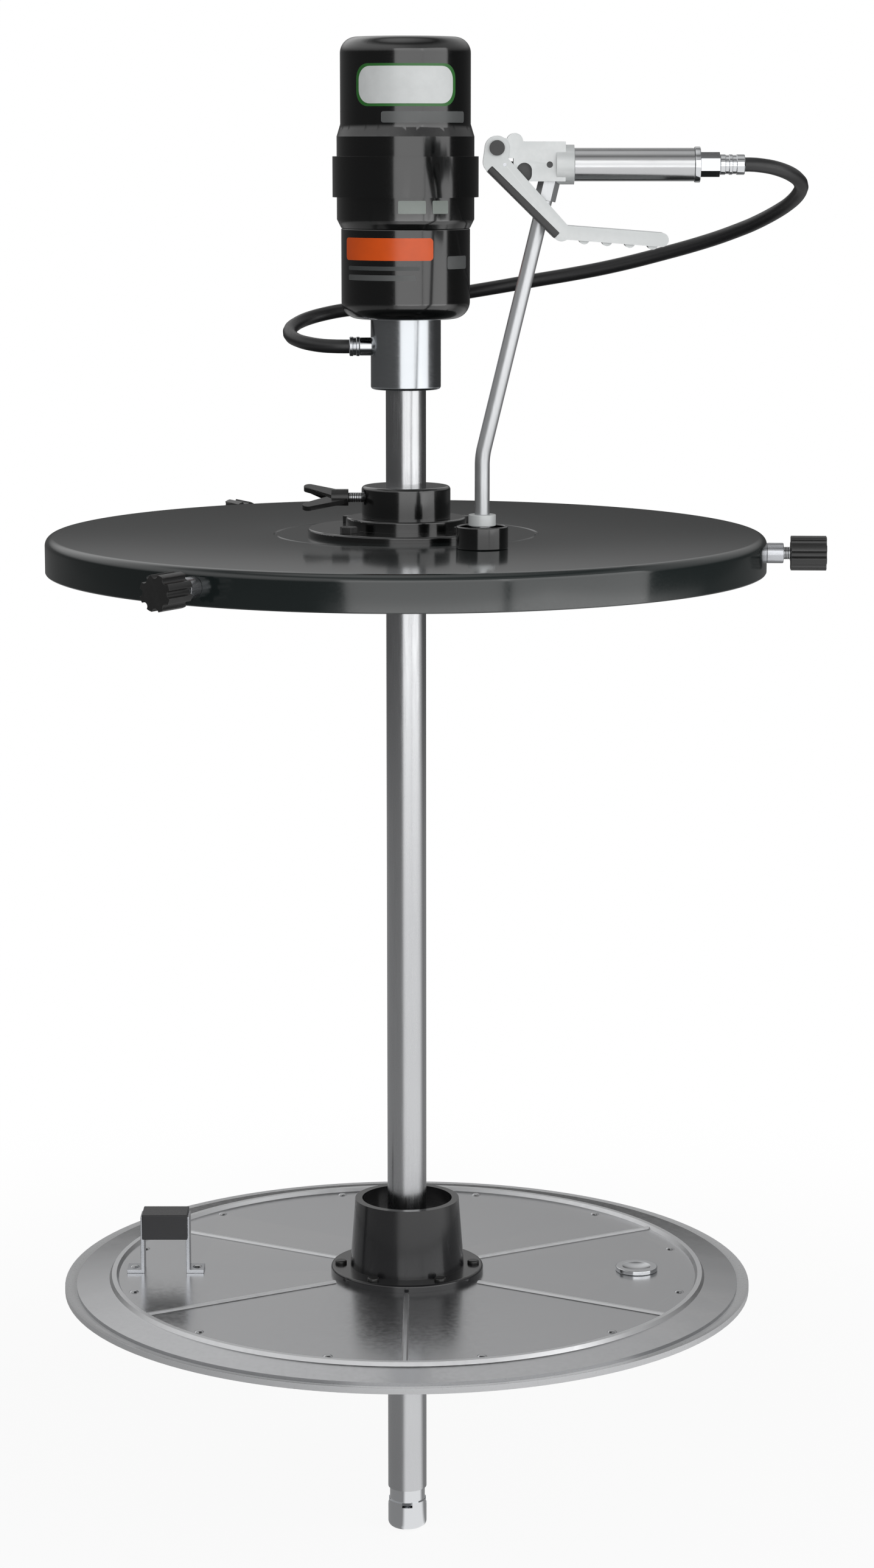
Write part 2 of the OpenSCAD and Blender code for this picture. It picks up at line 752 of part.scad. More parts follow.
// Direction of a line of points p at point i
function way_at(p, i) = let (n = len(p) - 1)
    unit(i == 0 ? p[1] - p[0] : i == n ? p[n] - p[n - 1] : unit(p[i] - p[i - 1]) + unit(p[i + 1] - p[i]));
// Ring of m points of radius r round point i, its first side square to ref
function ring_at(p, i, r, m, ref) = let (w = way_at(p, i), side = unit(cross(w, ref)), up = cross(w, side))
    [for (k = [0 : m - 1]) let (a = k * 360 / m) p[i] + r * (cos(a) * side + sin(a) * up)];

// A round bar of radius r and m sides along the points p
module swept(p, r, m, ref) {
    n = len(p);
    polyhedron(
        points = [for (i = [0 : n - 1]) each ring_at(p, i, r, m, ref)],
        faces = concat(
            [[for (k = [0 : m - 1]) k]],
            [for (i = [0 : n - 2], k = [0 : m - 1]) [i * m + k, (i + 1) * m + k, (i + 1) * m + (k + 1) % m]],
            [for (i = [0 : n - 2], k = [0 : m - 1]) [i * m + k, (i + 1) * m + (k + 1) % m, i * m + (k + 1) % m]],
            [[for (k = [0 : m - 1]) (n - 1) * m + m - 1 - k]]));
}

// A plate outline that tapers from one round end to another
module bar2d(a, ra, b, rb) {
    along = b - a;
    across = [-along[1], along[0]] / norm(along);
    translate(a) circle(ra);
    translate(b) circle(rb);
    polygon([a + across * (ra - bar_inset), b + across * (rb - bar_inset), b - across * (rb - bar_inset), a - across * (ra - bar_inset)]);
}

// A tube of two radii with its foot at the origin
module ring(r_out, r_in, h) {
    difference() {
        cylinder(r = r_out, h = h);
        translate([0, 0, -cut]) cylinder(r = r_in, h = h + 2 * cut);
    }
}

// A hexagon prism of a width across flats
module hex_prism(af, h) {
    cylinder(d = af / cos(180 / hex), h = h, $fn = hex);
}

// A cylinder whose lower edge is rounded
module foot_rounded(r, h, round_r) {
    rotate_extrude() {
        square([r - round_r, h]);
        translate([0, round_r]) square([r, h - round_r]);
        translate([r - round_r, round_r]) intersection() {
            circle(round_r);
            translate([0, -round_r]) square(round_r);
        }
    }
}

// A cylinder whose upper edge is rounded
module top_rounded(r, h, round_r) {
    translate([0, 0, h]) mirror([0, 0, 1]) foot_rounded(r, h, round_r);
}

// Children along a radius of the cover, with local z outwards from the cover's side
module at_rim(k) {
    rotate([0, 0, rim_turn + k * 360 / rim_n]) translate([cover_r, 0, rim_z]) rotate([0, 90, 0]) children();
}

// Children along the clamp screw, with local z outwards from the pump's axis to the left
module at_clamp() {
    translate([0, 0, clamp_axis_z]) rotate([0, -90, 0]) children();
}

// Children in the gun's plane, with local z as world x
module at_gun_x(x, z) {
    translate([holder_x + x, -holder_y, gun_axis_z + z]) rotate([0, 90, 0]) children();
}

// A flat outline in x and z of the gun's plane, as thick as w
module gun_plate(w) {
    translate([holder_x, -holder_y + w / 2, gun_axis_z]) rotate([90, 0, 0]) linear_extrude(w) children();
}

// Children across the gun's plane, with local z towards the front
module across_gun(x, z) {
    translate([holder_x + x, -holder_y, gun_axis_z + z]) rotate([90, 0, 0]) children();
}

// Children spaced evenly on a circle
module round_the_axis(n, r, turn = 0) {
    for (k = [0 : n - 1]) rotate([0, 0, turn + k * 360 / n]) translate([r, 0, 0]) children();
}

module drum_cover() {
    color(cover_paint) difference() {
        rotate_extrude() difference() {
            union() {
                translate([0, cover_top - cover_t]) square([cover_r - cover_bend_r, cover_t]);
                translate([cover_r - cover_bend_r, cover_top - cover_bend_r]) intersection() {
                    circle(cover_bend_r);
                    square(cover_bend_r);
                }
                translate([cover_r - cover_t, cover_foot]) square([cover_t, cover_h - cover_bend_r]);
            }
            translate([cover_r - cover_bend_r, cover_top - cover_bend_r]) circle(cover_bend_r - cover_t);
        }
        // hole for the hub's spigot
        translate([0, 0, cover_top - cover_t - cut]) cylinder(r = hub_spigot_r + seat_gap, h = cover_t + 2 * cut);
        // holes for the hub's bolts
        round_the_axis(hub_bolts_n, hub_pcd / 2, 180 / hub_bolts_n)
            translate([0, 0, cover_top - cover_t - cut]) cylinder(r = hub_bolt_r + seat_gap, h = cover_t + 2 * cut);
        // pressed groove
        translate([0, 0, cover_top - groove_d]) ring(groove_r + groove_w / 2, groove_r - groove_w / 2, groove_d + cut);
        // holes for the rim screws
        for (k = [0 : rim_n - 1]) at_rim(k)
            translate([0, 0, -cover_t - cut]) cylinder(r = rim_r + run_gap, h = cover_t + 2 * cut);
    }
}

module cover_gasket() {
    color(rubber_black) ring(gasket_r - cover_bend_r, gasket_r - gasket_w, gasket_t);
}

module cover_hub() {
    color(black_paint) difference() {
        union() {
            translate([0, 0, hub_base]) top_rounded(hub_flange_r, hub_flange_t, hub_flange_t / 3);
            translate([0, 0, hub_step_z]) top_rounded(hub_step_r, hub_step_h, hub_flange_t / 3);
            translate([0, 0, hub_boss_z]) top_rounded(hub_boss_r, hub_boss_h, hub_round_r);
            translate([0, 0, gasket_t]) cylinder(r = hub_spigot_r, h = cover_t);
        }
        // bore for the suction tube
        translate([0, 0, gasket_t - cut]) cylinder(r = tube_r + run_gap, h = hub_top - gasket_t + 2 * cut);
        // groove for the seal
        translate([0, 0, hub_step_z + hub_seal_z]) cylinder(r = tube_r + hub_seal_w + seat_gap, h = hub_seal_h);
        // bore for the clamp screw
        at_clamp() cylinder(r = clamp_r + run_gap, h = hub_boss_r + cut);
        // holes for the bolts
        round_the_axis(hub_bolts_n, hub_pcd / 2, 180 / hub_bolts_n)
            translate([0, 0, hub_base - cut]) cylinder(r = hub_bolt_r + seat_gap, h = hub_flange_t + 2 * cut);
    }
}

module hub_seal() {
    color(rubber_black) translate([0, 0, hub_step_z + hub_seal_z]) ring(tube_r + hub_seal_w, tube_r + run_gap, hub_seal_h);
}

module hub_bolts() {
    color(black_paint) round_the_axis(hub_bolts_n, hub_pcd / 2, 180 / hub_bolts_n) {
        translate([0, 0, hub_step_z]) hex_prism(hub_bolt_af, hub_head_h);
        translate([0, 0, -hub_bolt_r]) cylinder(r = hub_bolt_r, h = hub_step_z + hub_bolt_r);
    }
}

module hub_nuts() {
    color(satin_steel) round_the_axis(hub_bolts_n, hub_pcd / 2, 180 / hub_bolts_n)
        translate([0, 0, gasket_t - hub_head_h]) difference() {
            hex_prism(hub_bolt_af, hub_head_h);
            translate([0, 0, -cut]) cylinder(r = hub_bolt_r + seat_gap, h = hub_head_h + 2 * cut);
        }
}

module gun_holder() {
    color(black_paint) translate([holder_x, -holder_y, cover_top]) difference() {
        cylinder(d = holder_od, h = holder_h);
        translate([0, 0, holder_floor]) cylinder(d = holder_od - 2 * holder_wall, h = holder_h);
    }
}

module rim_bosses() {
    color(satin_steel) difference() {
        for (k = [0 : rim_n - 1]) at_rim(k) translate([0, 0, -cover_t]) ring(rim_boss_d / 2, rim_r + run_gap, cover_t + rim_boss_l);
        translate([0, 0, cover_foot - cut]) cylinder(r = cover_r + seat_gap / 2, h = cover_h + 2 * cut);
    }
}

module clamp_pad() {
    color(brass) at_clamp() translate([0, 0, clamp_pad_x]) cylinder(r = clamp_r, h = clamp_pad_l);
}

module clamp_screw() {
    color(black_paint) at_clamp() {
        translate([0, 0, clamp_tip_x]) cylinder(r = clamp_r, h = wing_x - clamp_tip_x);
        translate([0, 0, wing_x]) cylinder(r = wing_hub_r, h = wing_hub_l);
        rotate([0, 0, wing_turn]) translate([0, wing_t / 2, wing_x]) rotate([90, 0, 0]) linear_extrude(wing_t) {
            wing_root = [wing_hub_r / 2, wing_hub_l / 2];
            wing_tip = [wing_spread, wing_hub_l / 2 + wing_reach];
            bar2d(wing_root, wing_hub_l / 2, wing_tip, wing_hub_l / 3);
            mirror([1, 0]) bar2d(wing_root, wing_hub_l / 2, wing_tip, wing_hub_l / 3);
        }
    }
}

module rim_pad(k) {
    color(brass) at_rim(k) translate([0, 0, rim_pad_start]) cylinder(r = rim_r, h = rim_pad_l);
}

module rim_screw(k) {
    color(black_paint) at_rim(k) {
        translate([0, 0, rim_tip]) cylinder(r = rim_r, h = rim_knob_start - rim_tip);
        translate([0, 0, rim_knob_start]) difference() {
            cylinder(d = rim_knob_d, h = rim_knob_l);
            round_the_axis(rim_flutes, rim_knob_d / 2) translate([0, 0, -cut]) cylinder(r = rim_flute_d, h = rim_knob_l + 2 * cut, $fn = 24);
        }
    }
}

module rim_pad_right() { rim_pad(0); }
module rim_pad_back() { rim_pad(1); }
module rim_pad_front() { rim_pad(2); }
module rim_screw_right() { rim_screw(0); }
module rim_screw_back() { rim_screw(1); }
module rim_screw_front() { rim_screw(2); }

module motor_base() {
    color(black_paint) difference() {
        union() {
            translate([0, 0, motor_z]) foot_rounded(motor_low_r, motor_low_h, motor_foot_r);
            translate([0, 0, taper_z]) cylinder(r = spigot_out_r, h = split_z - taper_z);
        }
        translate([0, 0, cylinder_z]) cylinder(r = bore_r, h = split_z - cylinder_z + cut);
        // way through the floor for the rod
        translate([0, 0, motor_z - cut]) cylinder(r = rod_r + seat_gap, h = cylinder_floor + 2 * cut);
    }
}

module motor_band() {
    color(black_paint) difference() {
        union() {
            translate([0, 0, taper_z]) cylinder(r1 = motor_low_r, r2 = collar_r, h = motor_taper_h);
            translate([0, 0, low_collar_z]) cylinder(r = collar_r, h = low_collar_h);
            translate([0, 0, band_z]) cylinder(r = band_r, h = band_h);
            translate([0, 0, top_collar_z]) cylinder(r = collar_r, h = top_collar_h);
        }
        translate([0, 0, taper_z - cut]) cylinder(r = spigot_out_r + seat_gap, h = shoulder_z - taper_z + 2 * cut);
        // exhaust port
        translate([0, spigot_out_r, muffler_z]) rotate([-90, 0, 0]) cylinder(r = muffler_r / 2 + seat_gap, h = band_r);
    }
}

module motor_cap() {
    color(black_paint) difference() {
        union() {
            translate([0, 0, split_z]) cylinder(r = spigot_out_r, h = shoulder_z - split_z);
            translate([0, 0, shoulder_z]) cylinder(r1 = collar_r, r2 = cap_r, h = shoulder_h);
            translate([0, 0, cap_z]) top_rounded(cap_r, cap_h, cap_round_r);
        }
        // bore of the air valve, open to the air cylinder
        translate([0, 0, split_z - cut]) cylinder(r = spool_r + run_gap, h = cut + spool_lift + spool_l + spool_travel + rest_gap);
        // air inlet
        translate([0, 0, inlet_axis_z]) rotate([-90, 0, 0]) cylinder(r = inlet_bore_r, h = cap_r + cut);
        translate([0, cap_r - inlet_stem_l, inlet_axis_z]) rotate([-90, 0, 0]) cylinder(r = inlet_stem_r + seat_gap, h = inlet_stem_l + cut);
    }
}
inlet_bore_r = inlet_r / 2;

module air_inlet() {
    color(brass) translate([0, 0, inlet_axis_z]) rotate([-90, 0, 0]) difference() {
        union() {
            translate([0, 0, cap_r - inlet_stem_l]) cylinder(r = inlet_stem_r, h = inlet_stem_l);
            translate([0, 0, cap_r + seat_gap]) hex_prism(inlet_af, inlet_l);
            translate([0, 0, cap_r]) cylinder(r = inlet_stem_r, h = seat_gap);
        }
        translate([0, 0, cap_r - inlet_stem_l - cut]) cylinder(r = inlet_bore_r, h = inlet_stem_l + inlet_l);
        translate([0, 0, cap_r + seat_gap + inlet_l - inlet_depth]) cylinder(r = inlet_r, h = inlet_depth + cut);
    }
}

module muffler() {
    color(brass) translate([0, 0, muffler_z]) rotate([-90, 0, 0]) {
        translate([0, 0, spigot_out_r + 2 * seat_gap]) cylinder(r = muffler_r / 2, h = band_r - spigot_out_r);
        translate([0, 0, band_r + seat_gap]) cylinder(r = muffler_r, h = muffler_l);
    }
}

module label(r, a, turn, z, h) {
    rotate([0, 0, -90 - turn - a]) translate([0, 0, z]) rotate_extrude(angle = 2 * a) translate([r + seat_gap / 2, 0]) square([label_t, h]);
}

module motor_labels() {
    color(label_pale) label(cap_r, top_label_a, 0, motor_top - top_label_drop - top_label_h, top_label_h);
    color(label_orange) label(motor_low_r, low_label_a, low_label_turn, motor_z + low_label_z, low_label_h);
}

module outlet_housing() {
    color(satin_steel) difference() {
        translate([0, 0, housing_z]) foot_rounded(housing_r, housing_h, housing_round_r);
        // socket of the suction tube
        translate([0, 0, housing_z - cut]) cylinder(r = tube_r + seat_gap, h = socket_d + cut);
        // chamber and packing seat
        translate([0, 0, housing_z]) cylinder(r = tube_in_r, h = housing_h - packing_h);
        translate([0, 0, packing_z]) cylinder(r = packing_r + seat_gap, h = packing_h + cut);
        // outlet
        translate([0, 0, outlet_axis_z]) rotate([0, -90, 0]) cylinder(r = outlet_stem_r + seat_gap, h = housing_r + cut);
        // flat seat of the outlet fitting
        translate([-housing_r - cut, 0, outlet_axis_z]) rotate([0, 90, 0]) cylinder(r = outlet_collar_r + seat_gap, h = cut + outlet_seat_d);
    }
}
outlet_seat_d = housing_r - sqrt(housing_r * housing_r - outlet_collar_r * outlet_collar_r);

module rod_packing() {
    color(rubber_black) translate([0, 0, packing_z]) ring(packing_r, rod_r + run_gap, packing_h);
}

module outlet_fitting() {
    color(bright_steel) translate([0, 0, outlet_axis_z]) rotate([0, -90, 0]) difference() {
        union() {
            translate([0, 0, tube_in_r + seat_gap]) cylinder(r = outlet_stem_r, h = housing_r - tube_in_r - seat_gap);
            translate([0, 0, housing_r - outlet_seat_d]) cylinder(r = outlet_collar_r, h = outlet_l + outlet_seat_d);
        }
        translate([0, 0, tube_in_r]) cylinder(r = outlet_bore_r, h = housing_r + outlet_l);
    }
}

module pump_ferrule() {
    color(satin_steel) translate([0, 0, outlet_axis_z]) rotate([0, -90, 0]) translate([0, 0, fitting_stop]) ring(ferrule_r, outlet_bore_r, pump_ferrule_l);
}

module suction_tube() {
    color(bright_steel) translate([0, 0, tube_foot]) ring(tube_r, tube_in_r, tube_l + socket_d);
}

module foot_valve() {
    color(bright_steel) difference() {
        union() {
            translate([0, 0, foot_end]) foot_rounded(foot_r, foot_h, foot_round_r);
            translate([0, 0, foot_bulge_z]) cylinder(r = foot_neck_r, h = foot_neck_h);
            translate([0, 0, tube_foot]) cylinder(r = tube_in_r - seat_gap, h = foot_spigot_top - tube_foot);
        }
        // inlet chamber below the seat
        translate([0, 0, foot_end - cut]) cylinder(r = foot_inlet_r, h = foot_seat_z - foot_end + cut);
        // hole through the seat
        translate([0, 0, foot_seat_z - cut]) cylinder(r = foot_seat_r, h = foot_seat_t + 2 * cut);
        // ball chamber, crossed by the stop pin
        difference() {
            translate([0, 0, foot_seat_top]) cylinder(r = tube_in_r - foot_wall, h = foot_spigot_top - foot_seat_top + cut);
            translate([-tube_in_r, 0, foot_pin_z]) rotate([0, 90, 0]) cylinder(d = cage_pin_d, h = tube_id);
        }
        // side slots
        round_the_axis(foot_slots_n, 0, -90) translate([0, -foot_slot_w / 2, foot_bulge_z - foot_slot_h])
            cube([foot_r + cut, foot_slot_w, foot_slot_h]);
    }
}

module air_piston() {
    color(satin_steel) difference() {
        translate([0, 0, piston_z]) cylinder(r = piston_r, h = piston_t);
        translate([0, 0, piston_seal_z]) ring(piston_r + cut, piston_r - piston_seal_d, piston_seal_t);
        translate([0, 0, piston_z - cut]) cylinder(r = rod_r + seat_gap, h = piston_t + 2 * cut);
    }
}

module piston_seal() {
    color(rubber_black) translate([0, 0, piston_seal_z]) ring(bore_r - run_gap, piston_r - piston_seal_d + seat_gap, piston_seal_t);
}

module piston_rod() {
    color(bright_steel) translate([0, 0, rod_foot]) cylinder(r = rod_r, h = rod_top - rod_foot);
}

module plunger() {
    color(satin_steel) difference() {
        union() {
            translate([0, 0, plunger_z]) cylinder(r = plunger_r, h = plunger_land_l);
            translate([0, 0, plunger_z]) cylinder(r = plunger_neck_r, h = plunger_l);
        }
        translate([0, 0, plunger_z - cut]) cylinder(r = plunger_seat_r, h = plunger_seat_t + 2 * cut);
        translate([0, 0, plunger_seat_top]) cylinder(r = plunger_chamber_r, h = plunger_chamber_top - plunger_seat_top);
        translate([0, 0, rod_foot]) cylinder(r = rod_r + seat_gap, h = rod_seat_d + cut);
        // cross holes from the ball's chamber to the tube
        for (a = [0 : 90 : 270]) rotate([0, 0, a]) translate([plunger_chamber_r / 2, 0, (plunger_z + plunger_land_l + plunger_chamber_top) / 2]) rotate([0, 90, 0]) cylinder(r = plunger_hole_r, h = plunger_r);
    }
}

module plunger_ball() {
    color(bright_steel) translate([0, 0, plunger_ball_z]) sphere(r = plunger_ball_r);
}

module foot_ball() {
    color(bright_steel) translate([0, 0, foot_ball_z]) sphere(r = foot_ball_r);
}

module air_spool() {
    land_l = spool_l / 4;
    color(satin_steel) translate([0, 0, spool_z]) {
        cylinder(r = spool_r, h = land_l);
        cylinder(r = spool_waist_r, h = spool_l);
        translate([0, 0, spool_l - land_l]) cylinder(r = spool_r, h = land_l);
    }
}

module spool_ring() {
    color(satin_steel) translate([0, 0, spool_z - rest_gap - spool_ring_t]) ring(spool_r, spool_ring_r, spool_ring_t);
}

module follower_plate() {
    color(plate_grey) difference() {
        union() {
            // flat sheet whose edge slopes down outside the bead
            translate([0, 0, follower_z]) rotate_extrude() polygon([[0, 0], [bead_out_r, 0], [follower_r, -follower_slope],
                [follower_r, -follower_slope - follower_t], [bead_out_r, -follower_t], [0, -follower_t]]);
            // round bead
            translate([0, 0, follower_z]) rotate_extrude() translate([bead_r, 0])
                polygon([[-bead_w, 0], [-bead_w / 2, bead_h], [bead_w / 2, bead_h], [bead_w, 0]]);
            // radial ribs
            round_the_axis(ribs_n, 0, 180 / ribs_n) translate([wiper_flange_r + rib_w, 0, follower_z]) rotate([90, 0, 90])
                linear_extrude(bead_r - wiper_flange_r - rib_w) polygon([[-rib_r, 0], [-rib_r / 2, rib_h], [rib_r / 2, rib_h], [rib_r, 0]]);
        }
        translate([0, 0, follower_low - cut]) cylinder(r = follower_hole_r, h = follower_t + 2 * cut);
        round_the_axis(wiper_screws_n, wiper_screw_pcr) translate([0, 0, follower_low - cut]) cylinder(r = wiper_screw_r + seat_gap, h = follower_t + 2 * cut);
        round_the_axis(rivets_n, ring_mid_r, 180 / rivets_n) translate([0, 0, follower_low - cut]) cylinder(r = rivet_r + seat_gap, h = follower_t + 2 * cut);
        for (s = [-1, 1]) translate([-handle_x + s * strap_rivet_x, 0, follower_low - cut]) cylinder(r = rivet_r + seat_gap, h = follower_t + 2 * cut);
        translate([vent_x, 0, follower_low - cut]) cylinder(r = vent_stem_r + seat_gap, h = follower_t + 2 * cut);
    }
}
strap_rivet_x = strap_half + strap_foot_l / 2;

module follower_lip() {
    color(lip_grey) difference() {
        translate([0, 0, lip_z]) rotate_extrude()
            polygon([[lip_in_r, 0], [bead_out_r, 0], [follower_r, -follower_slope], [lip_r, lip_rise - follower_slope],
                [lip_r, lip_t + lip_rise - follower_slope], [follower_r, lip_t - follower_slope], [bead_out_r, lip_t], [lip_in_r, lip_t]]);
        round_the_axis(rivets_n, ring_mid_r, 180 / rivets_n) translate([0, 0, lip_z - cut]) cylinder(r = rivet_r + seat_gap, h = lip_t + 2 * cut);
        // relief for the head of the strap's outer rivet
        translate([-handle_x - strap_rivet_x, 0, lip_z + lip_t - rivet_r]) cylinder(r = rivet_head * rivet_r + seat_gap, h = rivet_r + cut);
    }
}

module lip_clamp_ring() {
    color(satin_steel) difference() {
        translate([0, 0, ring_z]) ring(lip_in_r + clamp_ring_w, lip_in_r, clamp_ring_t);
        round_the_axis(rivets_n, ring_mid_r, 180 / rivets_n) translate([0, 0, ring_z - cut]) cylinder(r = rivet_r + seat_gap, h = clamp_ring_t + 2 * cut);
    }
}

module wiper_hub() {
    color(rubber_black) difference() {
        union() {
            translate([0, 0, follower_z]) top_rounded(wiper_flange_r, wiper_flange_t, wiper_flange_t / 3);
            translate([0, 0, follower_z + wiper_flange_t]) cylinder(r1 = wiper_low_r, r2 = wiper_top_r, h = wiper_h - wiper_flange_t);
        }
        translate([0, 0, follower_z - cut]) cylinder(r = tube_r + run_gap, h = wiper_h + 2 * cut);
        translate([0, 0, wiper_top - wiper_hollow_d]) cylinder(r = wiper_top_r - wiper_wall, h = wiper_hollow_d + cut);
        round_the_axis(wiper_screws_n, wiper_screw_pcr) translate([0, 0, follower_z - cut]) cylinder(r = wiper_screw_r + seat_gap, h = wiper_flange_t + 2 * cut);
    }
}

module wiper_screws() {
    color(black_paint) round_the_axis(wiper_screws_n, wiper_screw_pcr) {
        translate([0, 0, follower_low - wiper_head_h]) cylinder(r = wiper_screw_r, h = follower_t + wiper_flange_t + wiper_head_h);
        translate([0, 0, follower_z + wiper_flange_t]) top_rounded(wiper_head_d / 2, wiper_head_h, wiper_head_h / 2);
        translate([0, 0, follower_low - wiper_head_h]) hex_prism(wiper_head_d, wiper_head_h);
    }
}

module follower_strap() {
    color(satin_steel) difference() {
        translate([-handle_x, handle_d / 2, 0]) rotate([90, 0, 0]) linear_extrude(handle_d) for (s = [0, 1]) mirror([s, 0]) {
            translate([strap_half - strap_t, follower_z]) square([strap_t, strap_top - follower_z]);
            translate([0, strap_top - strap_t]) square([strap_half, strap_t]);
            translate([strap_half - strap_t, follower_z]) square([strap_t + strap_foot_l, strap_t]);
        }
        for (s = [-1, 1]) translate([-handle_x + s * strap_rivet_x, 0, follower_z - cut]) cylinder(r = rivet_r + seat_gap, h = strap_t + 2 * cut);
    }
}

// A rivet with two cone heads whose shank runs from z0 to z1
module rivet(z0, z1) {
    translate([0, 0, z0]) cylinder(r = rivet_r, h = z1 - z0);
    translate([0, 0, z1]) cylinder(r1 = rivet_head * rivet_r, r2 = rivet_r, h = rivet_r / 2);
    translate([0, 0, z0 - rivet_r / 2]) cylinder(r1 = rivet_r, r2 = rivet_head * rivet_r, h = rivet_r / 2);
}

module follower_rivets() {
    color(satin_steel) {
        round_the_axis(rivets_n, ring_mid_r, 180 / rivets_n) rivet(ring_z, follower_z);
        for (s = [-1, 1]) translate([-handle_x + s * strap_rivet_x, 0, 0]) rivet(follower_low, follower_z + strap_t);
    }
}

module follower_grip() {
    color(rubber_black) translate([-handle_x, 0, 0]) difference() {
        translate([-strap_half + strap_t / 2, -grip_d / 2, grip_top - grip_h]) cube([handle_w - strap_t, grip_d, grip_h]);
        // slot that the strap's bridge and legs fill
        translate([-strap_half - cut, -handle_d / 2 - seat_gap, strap_top - strap_t - seat_gap]) cube([handle_w + 2 * cut, handle_d + 2 * seat_gap, strap_t + 2 * seat_gap]);
        for (s = [0, 1]) mirror([s, 0, 0]) translate([strap_half - strap_t - seat_gap, -handle_d / 2 - seat_gap, grip_top - grip_h - cut])
            cube([strap_t + cut, handle_d + 2 * seat_gap, grip_h + cut - grip_wall + seat_gap]);
    }
}

module vent_plug() {
    dish_r = (vent_r * vent_r / 2 + vent_dish_d * vent_dish_d) / (2 * vent_dish_d);
    color(bright_steel) translate([vent_x, 0, 0]) difference() {
        union() {
            translate([0, 0, follower_z]) cylinder(r = vent_r, h = vent_t);
            translate([0, 0, follower_low - vent_stem_l]) cylinder(r = vent_stem_r, h = follower_t + vent_stem_l);
        }
        translate([0, 0, follower_z + vent_t + dish_r - vent_dish_d]) sphere(r = dish_r);
    }
}

module gun_body() {
    color(pale_cast) difference() {
        union() {
            gun_plate(body_w) {
                translate([body_x + body_round_r, -body_down + body_round_r]) square([body_end_x - inlet_end_l / 2 - body_x - body_round_r, body_up + body_down - body_round_r]);
                translate([body_x, -body_down + body_round_r]) square([body_end_x - inlet_end_l / 2 - body_x, body_up + body_down - 2 * body_round_r]);
                translate([body_x + body_round_r, -body_down]) square([body_end_x - inlet_end_l / 2 - body_x - body_round_r, body_round_r]);
                translate([body_x + body_round_r, -body_down + body_round_r]) circle(body_round_r);
                bar2d([pivot_x, pivot_z], nose_r, [body_x + nose_r, body_up - nose_r], nose_r);
                translate([lug_x, body_up]) circle(lug_r);
            }
            at_gun_x(body_end_x - inlet_end_l, 0) cylinder(r = inlet_end_r, h = inlet_end_l);
            at_gun_x(body_end_x, 0) cylinder(r = spigot_r, h = spigot_l);
        }
        // notch that lets the roller reach the stem
        gun_plate(body_w + 2 * cut) translate([roller_x - nose_r - cut, -body_down - cut]) square([body_x - roller_x + nose_r + cut, body_down + cut + notch_up]);
        // bore of the pivot pin
        across_gun(pivot_x, pivot_z) translate([0, 0, -body_w]) cylinder(r = pivot_r + seat_gap, h = 2 * body_w);
        // guide of the valve stem
        at_gun_x(body_x - nose_r, 0) cylinder(r = stem_r + run_gap, h = seat_x - body_x + nose_r - cavity_l / 2);
        // outlet cavity, seat and spring chamber
        at_gun_x(seat_x - seat_t - cavity_l, 0) cylinder(r = cavity_r, h = cavity_l);
        at_gun_x(seat_x - seat_t - cut, 0) cylinder(r = seat_r, h = seat_t + 2 * cut);
        at_gun_x(seat_x, 0) cylinder(r = chamber_r, h = spring_stop_x - seat_x);
        at_gun_x(seat_x, 0) cylinder(r = seat_r, h = body_end_x + spigot_l - seat_x + cut);
        // outlet port, in line with the leaning tube
        translate([holder_x + port_x, -holder_y, gun_axis_z + port_z]) rotate([0, pipe_lean, 0]) translate([0, 0, -2 * cut]) cylinder(r = pipe_bore_r, h = body_down);
        // oval pockets and dimples in both sides
        for (s = [0, 1]) translate([0, -holder_y, 0]) mirror([0, s, 0]) translate([holder_x, -half_body + pocket_d, gun_axis_z]) {
            rotate([90, 0, 0]) linear_extrude(pocket_d + cut) bar2d([pocket_x, -pocket_r - pocket_l / 2], pocket_r, [pocket_x, -pocket_r + pocket_l / 2], pocket_r);
            translate([dimple_x, dimple_d - pocket_d, 0]) rotate([90, 0, 0]) cylinder(r = dimple_r, h = dimple_d + cut);
        }
        // flat seat for the leaning nut
        translate([holder_x + port_x, -holder_y, gun_axis_z + port_z]) rotate([0, pipe_lean, 0]) translate([0, 0, nut_seat - body_down]) cylinder(d = pipe_nut_af / cos(180 / hex) + 2 * seat_gap, h = body_down);
    }
}
// how far the leaning nut is let into the body's underside
nut_seat = pipe_nut_af / cos(180 / hex) / 2 * tan(pipe_lean) + seat_gap;

module gun_handle() {
    color(satin_steel) at_gun_x(handle_start, 0) ring(gun_handle_d / 2, spigot_fit_r, gun_handle_l);
}

module handle_end() {
    color(bright_steel) difference() {
        union() {
            at_gun_x(handle_stop, 0) cylinder(r = end_ring_r, h = end_ring_l);
            at_gun_x(handle_stop - end_plug_l, 0) cylinder(r = spigot_r, h = end_plug_l);
        }
        at_gun_x(handle_stop - end_plug_l - cut, 0) cylinder(r = swivel_r + run_gap, h = end_plug_l + end_ring_l + 2 * cut);
    }
}

module pivot_pin() {
    color(black_paint) across_gun(pivot_x, pivot_z) {
        translate([0, 0, -arm_out - rest_gap]) cylinder(r = pivot_r, h = 2 * (arm_out + rest_gap));
        translate([0, 0, arm_out + rest_gap]) cylinder(r = pivot_head_r, h = pivot_head_t);
        translate([0, 0, -arm_out - rest_gap - pivot_head_t]) hex_prism(2 * pivot_head_r * cos(180 / hex), pivot_head_t);
    }
}

// Children along the leaning tube, with local z down the tube from the body's port
module along_pipe() {
    translate([holder_x + port_x, -holder_y, gun_axis_z + port_z]) rotate([0, 180 + pipe_lean, 0]) children();
}

